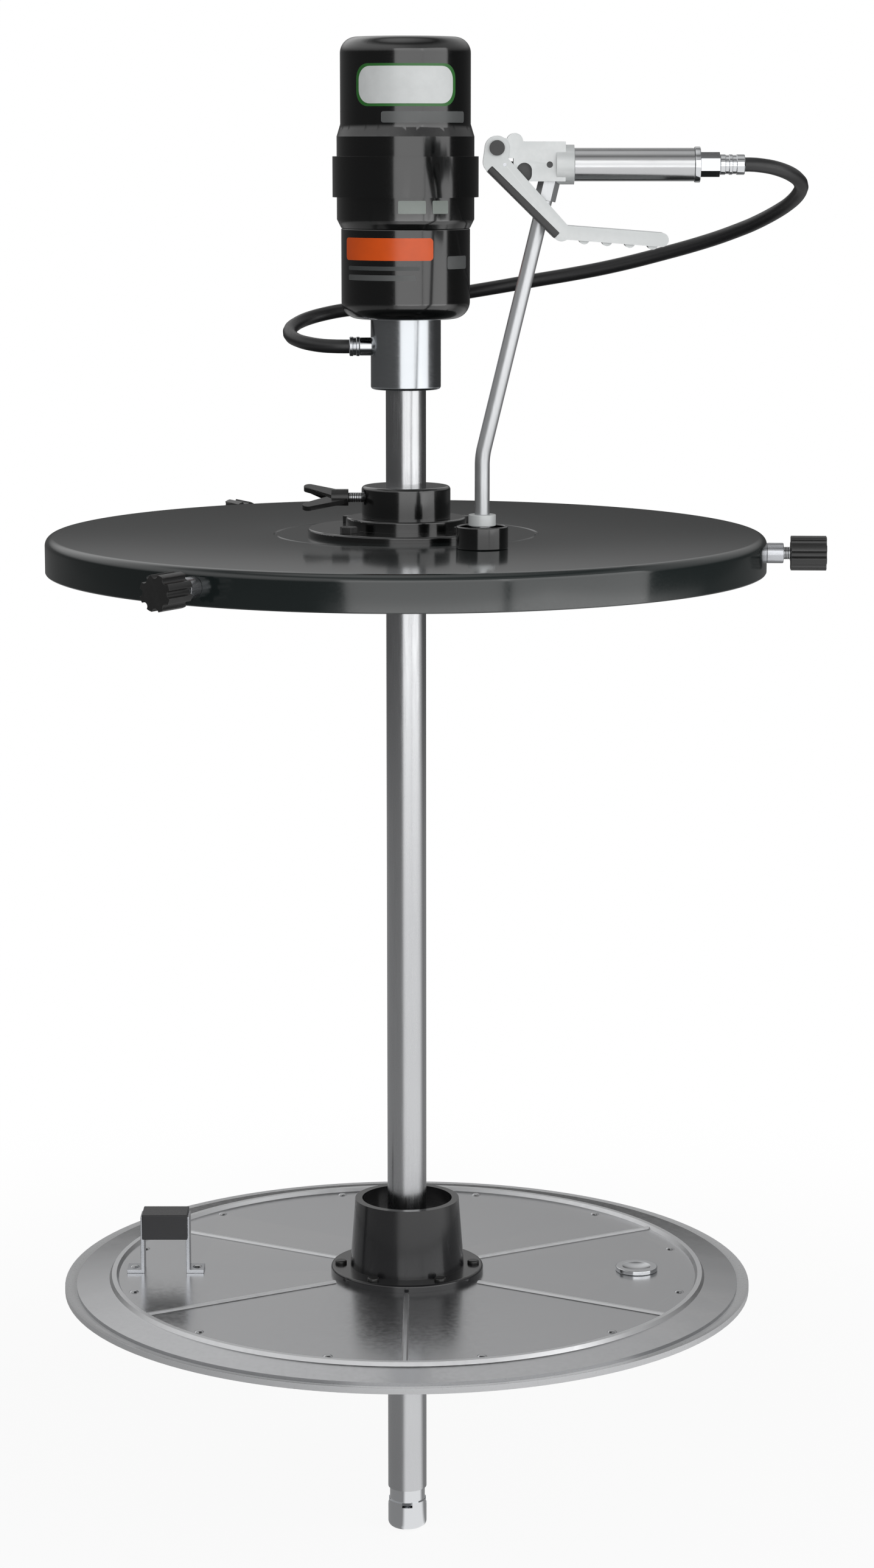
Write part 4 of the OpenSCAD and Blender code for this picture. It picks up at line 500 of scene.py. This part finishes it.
def softened(name, part, material, width, steps=2):
    """A piece in place of the fixed part: its faces merged and its sharp edges rounded over."""
    bpy.ops.object.select_all(action="DESELECT")
    piece = bpy.data.objects.new(name, frame["nodes"][part].data.copy())
    bpy.context.collection.objects.link(piece)
    piece.select_set(True)
    bpy.context.view_layer.objects.active = piece
    bpy.ops.mesh.customdata_custom_splitnormals_clear()
    bpy.ops.object.mode_set(mode="EDIT")
    bpy.ops.mesh.select_all(action="SELECT")
    bpy.ops.mesh.remove_doubles(threshold=MERGE)
    bpy.ops.mesh.dissolve_limited(angle_limit=math.radians(FLAT_DEG))
    bpy.ops.object.mode_set(mode="OBJECT")
    rounding = piece.modifiers.new("rounding", "BEVEL")
    rounding.width = width
    rounding.segments = steps
    rounding.limit_method = "ANGLE"
    rounding.angle_limit = math.radians(SHARP_DEG)
    bpy.ops.object.modifier_apply(modifier=rounding.name)
    bpy.ops.object.shade_smooth_by_angle(angle=math.radians(SHARP_DEG))
    flats = piece.modifiers.new("flats", "WEIGHTED_NORMAL")
    flats.keep_sharp = True
    bpy.ops.object.modifier_apply(modifier=flats.name)
    piece.data.materials.clear()
    piece.data.materials.append(material)
    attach(piece, frame["nodes"][part]["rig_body"])
    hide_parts(part)
    return piece


def turned(name, outline, sides, material, place):
    """A closed turned piece: its outline, as radius and height pairs, spun round Z and then put in place."""
    bpy.ops.object.select_all(action="DESELECT")
    bpy.ops.mesh.primitive_plane_add(size=1)
    piece = bpy.context.object
    piece.name = name
    bpy.ops.object.mode_set(mode="EDIT")
    bpy.ops.mesh.merge(type="CENTER")
    bpy.ops.transform.translate(value=(outline[0][0], 0, outline[0][1]))
    for (r0, z0), (r1, z1) in zip(outline, outline[1:] + outline[:1]):
        bpy.ops.mesh.extrude_region_move(TRANSFORM_OT_translate={"value": (r1 - r0, 0, z1 - z0)})
    bpy.ops.mesh.select_all(action="SELECT")
    bpy.ops.mesh.spin(steps=sides, angle=math.tau, center=(0, 0, 0), axis=(0, 0, 1))
    bpy.ops.mesh.select_all(action="SELECT")
    bpy.ops.mesh.remove_doubles(threshold=MERGE)
    bpy.ops.mesh.normals_make_consistent(inside=False)
    bpy.ops.object.mode_set(mode="OBJECT")
    piece.data.transform(place)
    bpy.ops.object.shade_smooth_by_angle(angle=math.radians(TURNED_SHARP_DEG))
    piece.data.materials.append(material)
    return piece


def drilled(piece, radius, depth, place):
    """Cuts a round hole into the piece, to both sides of the place and along its Z."""
    bpy.ops.object.select_all(action="DESELECT")
    bpy.ops.mesh.primitive_cylinder_add(vertices=DRILL_SIDES, radius=radius, depth=2 * depth)
    drill = bpy.context.object
    drill.data.transform(place)
    bpy.context.view_layer.objects.active = piece
    hole = piece.modifiers.new("hole", "BOOLEAN")
    hole.operation = "DIFFERENCE"
    hole.solver = "EXACT"
    hole.object = drill
    bpy.ops.object.modifier_apply(modifier=hole.name)
    bpy.data.objects.remove(drill)


def round_axis(angle_deg, out, height):
    """The place at this angle round the pump's axis, out metres from it and at this height."""
    return Matrix.Rotation(math.radians(angle_deg), 4, "Z") @ Matrix.Translation((out, 0, height))


def at_rim(k, out):
    """The place of clamp screw k, out metres from the pump's axis, with Z pointing outwards."""
    return round_axis(RIM_TURN_DEG + 360 / len(RIM_SIDES) * k, out, RIM_AXIS_Z) @ POINT_RIGHT


def cover_bend(radius, angles):
    """Points round the bend of the cover's edge, at this radius from its middle."""
    middle_r, middle_z = COVER_R - COVER_BEND_R, COVER_TOP_Z - COVER_BEND_R
    return [(middle_r + radius * math.sin(a), middle_z + radius * math.cos(a)) for a in angles]


bend = [math.pi / 2 * k / COVER_BEND_STEPS for k in range(COVER_BEND_STEPS + 1)]
cover_outline = [(COVER_HOLE_R, COVER_TOP_Z - COVER_T), (COVER_HOLE_R, COVER_TOP_Z),
                 (GROOVE_R - GROOVE_W / 2, COVER_TOP_Z), (GROOVE_R - GROOVE_W / 4, COVER_TOP_Z - GROOVE_D),
                 (GROOVE_R + GROOVE_W / 4, COVER_TOP_Z - GROOVE_D), (GROOVE_R + GROOVE_W / 2, COVER_TOP_Z)]
cover_outline += cover_bend(COVER_BEND_R, bend)
cover_outline += [(COVER_R - inwards * COVER_T, COVER_FOOT_Z + up * COVER_T) for inwards, up in COVER_HEM]
cover_outline += cover_bend(COVER_BEND_R - COVER_T, reversed(bend))
cover_shell = turned("cover_shell", cover_outline, COVER_SIDES, cover_spray, Matrix.Identity(4))
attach(cover_shell, "cover")
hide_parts("drum_cover")
for k in range(BOLTS):
    bolt_at = round_axis(BOLT_TURN_DEG + 360 / BOLTS * k, BOLT_CIRCLE_R, COVER_TOP_Z)
    drilled(cover_shell, BOLT_HOLE_R, 2 * COVER_T, bolt_at)
for k in range(len(RIM_SIDES)):
    drilled(cover_shell, SCREW_HOLE_R, 2 * COVER_T, at_rim(k, COVER_R))
softened("hub_casting", "cover_hub", black_enamel, width=0.0012, steps=3)
softened("hub_screws", "hub_bolts", dull_black, width=0.0005)
softened("holder_cup", "gun_holder", black_enamel, width=0.0010, steps=3)
skirt_bosses = softened("skirt_bosses", "rim_bosses", turned_steel, width=0.0007)
softened("hub_screw_nuts", "hub_nuts", turned_steel, width=0.0004)
softened("cover_seal", "cover_gasket", gasket_rubber, width=0.0009)
softened("hub_ring", "hub_seal", gasket_rubber, width=0.0004)

# Clamp screws: a black wing screw at the hub and three black fluted knobs round the skirt, each
# pushing a brass pad. The knobs are cast on threaded steel studs, which run in bosses welded to
# the skirt.
THREAD_PITCH = 0.0015
THREAD_DEPTH = 0.0006
THREAD_CREST = (0.4, 0.6)
THREAD_SIDES = 32
RIM_THREAD_R = 0.0052
RIM_THREAD_FROM = 0.3137
RIM_THREAD_TURNS = 4
BOSS_END_R = 0.314
BOSS_MOUTH_R = 0.0054
BOSS_MOUTH_D = 0.0034
HUB_THREAD_R = 0.0042
HUB_THREAD_FROM = (-0.0368, 0, 0.036)
HUB_THREAD_TURNS = 7
POINT_LEFT = Matrix.Rotation(math.radians(-90), 4, "Y")
bright_plate = finish("bright_plate", (0.56, 0.57, 0.585), (0.50, 0.51, 0.52), drift=6, metallic=1,
                      gloss=(0.07, 0.13), marks=(500, 500, 60), relief=0.03, worn=(0.8, 0.8, 0.8), wear=0.3)


def dress(material, *parts):
    """Gives the fixed parts of these names the material."""
    for part in parts:
        mesh = frame["nodes"][part].data
        mesh.materials.clear()
        mesh.materials.append(material)


def thread(name, radius, turns, place, screw):
    """The turned thread of a screw where it shows between its seat and its head."""
    outline = [(radius - 2 * THREAD_DEPTH, 0)]
    for k in range(turns):
        outline.append((radius - THREAD_DEPTH, k * THREAD_PITCH))
        outline += [(radius, (k + share) * THREAD_PITCH) for share in THREAD_CREST]
    end = turns * THREAD_PITCH
    outline += [(radius - THREAD_DEPTH, end), (radius - 2 * THREAD_DEPTH, end)]
    piece = turned(name, outline, THREAD_SIDES, bright_plate, place)
    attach(piece, frame["nodes"][screw]["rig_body"])


softened("wing_screw", "clamp_screw", dull_black, width=0.0011, steps=3)
for side in RIM_SIDES:
    softened("knob_" + side, "rim_screw_" + side, dull_black, width=0.0006)
dress(plain_brass, "clamp_pad", "rim_pad_right", "rim_pad_back", "rim_pad_front")
# each boss is bored out at its mouth, where the screw's thread starts
for k, side in enumerate(RIM_SIDES):
    drilled(skirt_bosses, BOSS_MOUTH_R, BOSS_MOUTH_D, at_rim(k, BOSS_END_R))
    stud_at = at_rim(k, RIM_THREAD_FROM)
    thread("knob_thread_" + side, RIM_THREAD_R, RIM_THREAD_TURNS, stud_at, "rim_screw_" + side)
hub_thread_at = Matrix.Translation(HUB_THREAD_FROM) @ POINT_LEFT
thread("wing_thread", HUB_THREAD_R, HUB_THREAD_TURNS, hub_thread_at, "clamp_screw")

# Air motor: a base, a band and a cap cast in aluminium, enamelled glossy black, with the air
# inlet and a bronze muffler behind. Inside, a piston with a rubber seal runs in the cylinder.
EXHAUST_MM = ((2, -15), (4.5, -15), (4.5, 0), (9, 0), (9, 3.4), (7.9, 3.9), (7.9, 4.3), (8.8, 4.9),
              (8.8, 8.2), (7.9, 9.5), (6, 10), (2, 10))
EXHAUST_AT = (0, 0.0602, 0.2995)
EXHAUST_SIDES = 40
POINT_BACK = Matrix.Rotation(math.radians(-90), 4, "X")
sintered_bronze = finish("sintered_bronze", (0.50, 0.36, 0.18), (0.36, 0.25, 0.12), drift=900, metallic=0.9,
                         gloss=(0.45, 0.65), marks=(2600, 2600, 2600), relief=0.9, depth=0.0002)
softened("motor_foot", "motor_base", black_enamel, width=0.0014, steps=3)
softened("motor_ring", "motor_band", black_enamel, width=0.0010, steps=3)
softened("motor_dome", "motor_cap", black_enamel, width=0.0010, steps=3)
softened("inlet_nipple", "air_inlet", plain_brass, width=0.0004)
exhaust_outline = [(r / 1000, z / 1000) for r, z in EXHAUST_MM]
exhaust_at = Matrix.Translation(EXHAUST_AT) @ POINT_BACK
exhaust = turned("exhaust", exhaust_outline, EXHAUST_SIDES, sintered_bronze, exhaust_at)
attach(exhaust, "pump")
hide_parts("muffler")
dress(turned_steel, "air_piston", "air_spool", "spool_ring", "plunger")
softened("piston_ring", "piston_seal", gasket_rubber, width=0.0005)
softened("rod_rings", "rod_packing", gasket_rubber, width=0.0005)

# Labels on the motor: thin printed film laid round the castings, all of it blank. A pale one
# with a green edge on the cap, an orange one low on the left, and narrow pale and grey strips.
CAP_R = 0.0535
COLLAR_R = 0.0565
LOW_R = 0.0530
FILM_T = 0.00035
FILM_CUTS = 24
FILM_CORNER_STEPS = 8
FILM_SHARP_DEG = 30
PRINT_DRIFT = 0.82
GREEN = (0.02, 0.14, 0.02)
SILVER = (0.66, 0.68, 0.68)
ORANGE = (0.76, 0.09, 0.0)
PALE_GREY = (0.26, 0.29, 0.27)
MID_GREY = (0.10, 0.105, 0.105)
DIM_GREY = (0.09, 0.095, 0.095)
DARK_GREY = (0.055, 0.06, 0.06)
# name, radius, the two angles from the front, the two heights, corner radius, colour, gloss, stand-off
LABELS = (
    ("cap_label_edge", CAP_R, (-47, 49), (0.3560, 0.3900), 0.012, GREEN, (0.3, 0.4), 0.0),
    ("cap_label", CAP_R, (-43.8, 45.6), (0.3582, 0.3879), 0.011, SILVER, (0.3, 0.4), 0.0002),
    ("cap_strip", CAP_R, (-21, 62), (0.3430, 0.3520), 0.002, MID_GREY, (0.3, 0.4), 0.0),
    ("collar_strip", COLLAR_R, (-5.6, 17.2), (0.2703, 0.2808), 0.001, PALE_GREY, (0.3, 0.4), 0.0),
    ("collar_strip_small", COLLAR_R, (23.1, 37.6), (0.2703, 0.2808), 0.001, PALE_GREY, (0.3, 0.4), 0.0),
    ("low_label", LOW_R, (-64, 25.3), (0.2327, 0.2508), 0.003, ORANGE, (0.28, 0.36), 0.0),
    ("low_strip", LOW_R, (-60, 13), (0.2247, 0.2280), 0.001, DARK_GREY, (0.35, 0.45), 0.0),
    ("low_strip_two", LOW_R, (-60, 9.4), (0.2165, 0.2210), 0.001, DIM_GREY, (0.35, 0.45), 0.0),
    ("side_mark", LOW_R, (40, 68), (0.2255, 0.2360), 0.002, MID_GREY, (0.35, 0.45), 0.0),
)


def film(name, radius, sweep_deg, heights, round_r, colour, gloss, proud):
    """A rounded patch of film round the motor between two angles from its front and two heights."""
    wide = radius * math.radians(sweep_deg[1] - sweep_deg[0])
    bpy.ops.object.select_all(action="DESELECT")
    bpy.ops.mesh.primitive_plane_add(size=1, location=(0, 0, 0))
    patch = bpy.context.object
    patch.name = name
    patch.scale = (wide, heights[1] - heights[0], 1)
    bpy.ops.object.transform_apply(location=True, rotation=True, scale=True)
    bpy.ops.object.mode_set(mode="EDIT")
    bpy.ops.mesh.select_all(action="SELECT")
    bpy.ops.mesh.bevel(offset=round_r, segments=FILM_CORNER_STEPS, affect="VERTICES")
    for k in range(1, FILM_CUTS):
        bpy.ops.mesh.select_all(action="SELECT")
        bpy.ops.mesh.bisect(plane_co=((k / FILM_CUTS - 0.5) * wide, 0, 0), plane_no=(1, 0, 0))
    bpy.ops.object.mode_set(mode="OBJECT")
    middle = math.radians(sum(sweep_deg) / 2)
    for vertex in patch.data.vertices:
        turn = vertex.co.x / radius + middle
        height = vertex.co.y + sum(heights) / 2
        vertex.co = (math.sin(turn) * (radius + proud), -math.cos(turn) * (radius + proud), height)
    sheet = patch.modifiers.new("film", "SOLIDIFY")
    sheet.thickness = FILM_T
    sheet.offset = 1
    bpy.ops.object.modifier_apply(modifier=sheet.name)
    bpy.ops.object.shade_smooth_by_angle(angle=math.radians(FILM_SHARP_DEG))
    faded = tuple(PRINT_DRIFT * c for c in colour)
    patch.data.materials.append(finish(name + "_print", colour, faded, drift=60, gloss=gloss,
                                       marks=(1500, 1500, 1500), relief=0.05))
    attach(patch, "pump")
    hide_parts("motor_labels")


for label in LABELS:
    film(*label)

# Pump: a turned steel housing under the motor, with the outlet fitting and its crimped ferrule
# on the left, and a long plated tube down through cover and follower to the foot valve.
FERRULE_R = 0.008
FERRULE_IN_R = 0.0057
FERRULE_SIDES = 40
CRIMP_D = 0.0006
NEAR_FERRULE_AT = (-0.038, 0, 0.161)
NEAR_FERRULE_LONG = 0.0086
NEAR_CRIMPS = ((0.0024, 0.0058),)
housing_steel = finish("housing_steel", (0.46, 0.48, 0.50), (0.52, 0.54, 0.56), drift=14, metallic=1,
                       gloss=(0.16, 0.24), marks=(260, 260, 2600), relief=0.05,
                       worn=(0.65, 0.65, 0.66), wear=0.5)
tube_plate = finish("tube_plate", (0.46, 0.465, 0.475), (0.42, 0.425, 0.435), drift=5, metallic=1,
                    gloss=(0.20, 0.29), marks=(700, 700, 40), relief=0.03)


def crimped(name, node, length, crimps, place, material):
    """A hose ferrule: a turned sleeve with a rolled lip, pressed in round the hose at its crimps."""
    outline = [(FERRULE_IN_R, 0), (FERRULE_R - CRIMP_D, 0), (FERRULE_R, CRIMP_D)]
    for low, high in crimps:
        outline += [(FERRULE_R, low), (FERRULE_R - CRIMP_D, low + CRIMP_D)]
        outline += [(FERRULE_R - CRIMP_D, high - CRIMP_D), (FERRULE_R, high)]
    outline += [(FERRULE_R, length - CRIMP_D), (FERRULE_R - CRIMP_D, length), (FERRULE_IN_R, length)]
    sleeve = turned(name, outline, FERRULE_SIDES, material, place)
    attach(sleeve, frame["nodes"][node]["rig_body"])
    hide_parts(node)


softened("pump_housing", "outlet_housing", housing_steel, width=0.0008, steps=3)
softened("side_fitting", "outlet_fitting", bright_plate, width=0.0005)
near_ferrule_at = Matrix.Translation(NEAR_FERRULE_AT) @ POINT_LEFT
crimped("near_ferrule", "pump_ferrule", NEAR_FERRULE_LONG, NEAR_CRIMPS, near_ferrule_at, turned_steel)
softened("foot", "foot_valve", bright_plate, width=0.0006)
softened("feed_tube", "suction_tube", tube_plate, width=0.0004)
dress(bright_plate, "piston_rod", "plunger_ball", "foot_ball")

# Follower: a pressed steel disc with a round bead and six ribs that rides down on the grease,
# with a rubber lip under its edge, a black wiper hub round the tube, a lifting grip on a steel
# strap and a vent plug.
FOLLOWER_TOP_Z = -0.632
NEARLY = 0.0003
follower_steel = finish("follower_steel", (0.49, 0.495, 0.505), (0.53, 0.535, 0.545), drift=3, metallic=1,
                        gloss=(0.20, 0.27), marks=(240, 240, 240), relief=0.02,
                        worn=(0.55, 0.55, 0.55), wear=0.6)
# painted highlight: a brighter steel for the follower's ribs and bead
rib_highlight_steel = finish("rib_highlight_steel", (0.66, 0.665, 0.675), (0.61, 0.615, 0.625), drift=3, metallic=1,
                       gloss=(0.30, 0.38), marks=(240, 240, 240), relief=0.02)
lip_rubber = finish("lip_rubber", (0.48, 0.485, 0.495), (0.53, 0.535, 0.545), gloss=(0.26, 0.34),
                    marks=(600, 600, 600), relief=0.06, coat=0.5)
grip_plastic = finish("grip_plastic", (0.014, 0.014, 0.016), (0.02, 0.02, 0.022), gloss=(0.3, 0.42),
                      marks=(1500, 1500, 1500), relief=0.2, worn=(0.05, 0.05, 0.05), wear=0.5)
hub_rubber = finish("hub_rubber", (0.010, 0.010, 0.011), (0.015, 0.015, 0.016), drift=20, gloss=(0.18, 0.25),
                    marks=(700, 700, 700), relief=0.08, coat=0.2)
follower_disc = softened("follower_disc", "follower_plate", follower_steel, width=0.0012,
                         steps=3)
# painted highlight: the ribs and the bead are coloured a brighter steel than the disc, for the light they
# catch
follower_disc.data.materials.append(rib_highlight_steel)
for face in follower_disc.data.polygons:
    if face.center.z > FOLLOWER_TOP_Z + NEARLY:
        face.material_index = 1
softened("follower_edge", "follower_lip", lip_rubber, width=0.0020, steps=4)
softened("wiper", "wiper_hub", hub_rubber, width=0.0016, steps=4)
softened("grip", "follower_grip", grip_plastic, width=0.0022, steps=4)
softened("grip_strap", "follower_strap", turned_steel, width=0.0007)
softened("vent", "vent_plug", bright_plate, width=0.0008, steps=3)
softened("wiper_bolts", "wiper_screws", dull_black, width=0.0004)
softened("disc_rivets", "follower_rivets", follower_steel, width=0.0004)
dress(turned_steel, "lip_clamp_ring")

# Grease gun: a pale cast body and lever on a plated handle tube, with a bent outlet tube, a
# swivel for the hose and a hydraulic coupler that stands in the holder cup. Inside the body a
# spring closes the valve when the lever is let go.
GUN_Y = -0.115
HANDLE_AXIS_Z = 0.310
POCKET_FLOOR, POCKET_X = 0.009, (0.087, 0.102)
DIMPLE_FLOOR, DIMPLE_X = 0.0112, (0.110, 0.119)
pale_cast = finish("pale_cast", (0.60, 0.62, 0.62), (0.53, 0.55, 0.55), drift=25, metallic=0.15,
                   gloss=(0.34, 0.46), marks=(900, 900, 900), relief=0.25, worn=(0.75, 0.76, 0.76), wear=0.6)
# painted shade for the floors of the gun's pockets and dimples
pocket_shade = finish("pocket_shade", (0.055, 0.056, 0.057), (0.085, 0.086, 0.087), drift=60, metallic=0.2,
                    gloss=(0.5, 0.6), marks=(1500, 1500, 1500), relief=0.4)
gun_casting = softened("gun_casting", "gun_body", pale_cast, width=0.0010, steps=3)
softened("trigger_lever", "lever", pale_cast, width=0.0012, steps=3)
# painted shade: the floors of the oval pockets and the dimples are coloured dark, for the shade that falls in
# them
gun_casting.data.materials.append(pocket_shade)
for face in gun_casting.data.polygons:
    for floor_y, (from_x, to_x) in ((POCKET_FLOOR, POCKET_X), (DIMPLE_FLOOR, DIMPLE_X)):
        if abs(abs(face.center.y - GUN_Y) - floor_y) < NEARLY and from_x < face.center.x < to_x:
            face.material_index = 1

# Painted shade on the lever: a black strip along the lower edge of each of its two arms, from
# beside the pivot down to where the lever bends under the handle, where that side of the arm
# lies in shade.
SHADE_STRIP_FROM = (0.06675, 0.30742)
SHADE_STRIP_TO = (0.1209, 0.25452)
SHADE_STRIP_Y = 0.0144
SHADE_STRIP_T = 0.0032
SHADE_STRIP_W = 0.0066
SHADE_STRIP_ROUND_R = 0.0014
# black for the painted shade along the lever's arms
shade_strip_black = finish("shade_strip_black", (0.012, 0.012, 0.013), (0.02, 0.02, 0.021), drift=20,
                        gloss=(0.3, 0.4), marks=(1200, 1200, 1200), relief=0.15)
shade_strip_long = math.dist(SHADE_STRIP_FROM, SHADE_STRIP_TO)
shade_strip_fall = math.atan2(SHADE_STRIP_FROM[1] - SHADE_STRIP_TO[1], SHADE_STRIP_TO[0] - SHADE_STRIP_FROM[0])
shade_strip_middle = Vector(((SHADE_STRIP_FROM[0] + SHADE_STRIP_TO[0]) / 2, GUN_Y - SHADE_STRIP_Y,
                        (SHADE_STRIP_FROM[1] + SHADE_STRIP_TO[1]) / 2))
bpy.ops.object.select_all(action="DESELECT")
bpy.ops.mesh.primitive_cube_add(size=1)
shade_strip_front = bpy.context.object
shade_strip_front.name = "shade_strip_front"
shade_strip_front.data.transform(Matrix.Diagonal((shade_strip_long, SHADE_STRIP_T, SHADE_STRIP_W, 1)))
rounding = shade_strip_front.modifiers.new("rounding", "BEVEL")
rounding.width = SHADE_STRIP_ROUND_R
rounding.segments = 3
bpy.ops.object.modifier_apply(modifier=rounding.name)
shade_strip_front.data.transform(Matrix.Translation(shade_strip_middle) @ Matrix.Rotation(shade_strip_fall, 4, "Y"))
bpy.ops.object.shade_smooth_by_angle(angle=math.radians(SHARP_DEG))
shade_strip_front.data.materials.append(shade_strip_black)
shade_strip_back = bpy.data.objects.new("shade_strip_back", shade_strip_front.data.copy())
bpy.context.collection.objects.link(shade_strip_back)
shade_strip_back.data.transform(Matrix.Translation((0, 2 * SHADE_STRIP_Y, 0)))
for shade_strip in (shade_strip_front, shade_strip_back):
    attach(shade_strip, frame["nodes"]["lever"]["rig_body"])

# Handle and coupler: a plated handle tube with its end ring and the hose swivel, the outlet
# tube's nut, the hydraulic coupler with its collar at the tube's foot, and the black steel pin
# that the lever turns on.
FAR_FERRULE_AT = (0.249, GUN_Y, HANDLE_AXIS_Z)
FAR_FERRULE_LONG = 0.0196
FAR_CRIMPS = ((0.0040, 0.0075), (0.0095, 0.0135))
handle_plate = finish("handle_plate", (0.44, 0.445, 0.45), (0.40, 0.405, 0.41), drift=9, metallic=1,
                      gloss=(0.18, 0.26), marks=(60, 700, 700), relief=0.03)
pipe_plate = finish("pipe_plate", (0.50, 0.51, 0.52), (0.45, 0.46, 0.47), drift=9, metallic=0.9,
                    gloss=(0.36, 0.44), marks=(700, 700, 60), relief=0.03)
softened("handle_tube", "gun_handle", handle_plate, width=0.0006)
softened("handle_cap", "handle_end", bright_plate, width=0.0006)
softened("tube_nut", "pipe_nut", pipe_plate, width=0.0005)
softened("hose_nut", "swivel_nut", bright_plate, width=0.0005)
far_ferrule_at = Matrix.Translation(FAR_FERRULE_AT) @ POINT_RIGHT
crimped("far_ferrule", "gun_ferrule", FAR_FERRULE_LONG, FAR_CRIMPS, far_ferrule_at, bright_plate)
softened("coupler_ring", "coupler_collar", pale_cast, width=0.0006)
softened("coupler_nose", "coupler", bright_plate, width=0.0006)
softened("lever_pivot", "pivot_pin", dull_black, width=0.0005)

# Outlet tube of the gun: plated steel tube, held in the body by its nut. It leans down from there
# and is bent upright just above the coupler.
PIPE_R = 0.006
PIPE_SIDES = 32
PIPE_TOP = Vector((0.1154, GUN_Y, 0.3005))
PIPE_BEND_AT = Vector((0.122, GUN_Y, 0.07285))
PIPE_BEND_R = 0.060
PIPE_BEND_STEPS = 8
PIPE_LEAN = math.radians(13.6)
PIPE_FOOT_X = 0.062
pipe_line = [PIPE_TOP]
for k in range(PIPE_BEND_STEPS, -1, -1):
    lean = PIPE_LEAN * k / PIPE_BEND_STEPS
    pipe_line.append(PIPE_BEND_AT + PIPE_BEND_R * Vector((-math.cos(lean), 0, math.sin(lean))))
pipe_line.append(Vector((PIPE_FOOT_X, GUN_Y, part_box("outlet_pipe")[0][2])))
gun_outlet = round_tube("gun_outlet", pipe_line, PIPE_R, PIPE_SIDES, pipe_plate)
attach(gun_outlet, "gun")
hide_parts("outlet_pipe")

# Valve of the gun: a plated stem that the lever's roller presses, and the coiled steel wire
# spring that closes it, with its end turns laid flat.
SPRING_FROM, SPRING_TO = (0.1272, GUN_Y, HANDLE_AXIS_Z), (0.1408, GUN_Y, HANDLE_AXIS_Z)
SPRING_MID_R = 0.0040
SPRING_WIRE_R = 0.00045
SPRING_WIRE_SIDES = 12
SPRING_TURNS = 6
SPRING_FLAT_TURNS = 0.8
SPRING_STEPS = 22
dress(bright_plate, "valve_stem")
dress(turned_steel, "lever_roller")
spring_from = SPRING_FROM[0] + SPRING_WIRE_R
spring_long = SPRING_TO[0] - SPRING_FROM[0] - 2 * SPRING_WIRE_R
coil = []
for k in range(SPRING_TURNS * SPRING_STEPS + 1):
    turn = math.tau * k / SPRING_STEPS
    along = max(k / SPRING_STEPS - SPRING_FLAT_TURNS, 0) / (SPRING_TURNS - 2 * SPRING_FLAT_TURNS)
    coil.append(Vector((spring_from + min(along, 1) * spring_long,
                        SPRING_FROM[1] + SPRING_MID_R * math.cos(turn),
                        SPRING_FROM[2] + SPRING_MID_R * math.sin(turn))))
spring = round_tube("return_spring", coil, SPRING_WIRE_R, SPRING_WIRE_SIDES, turned_steel)
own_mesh(spring)
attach(spring, "gun")
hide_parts("valve_spring")
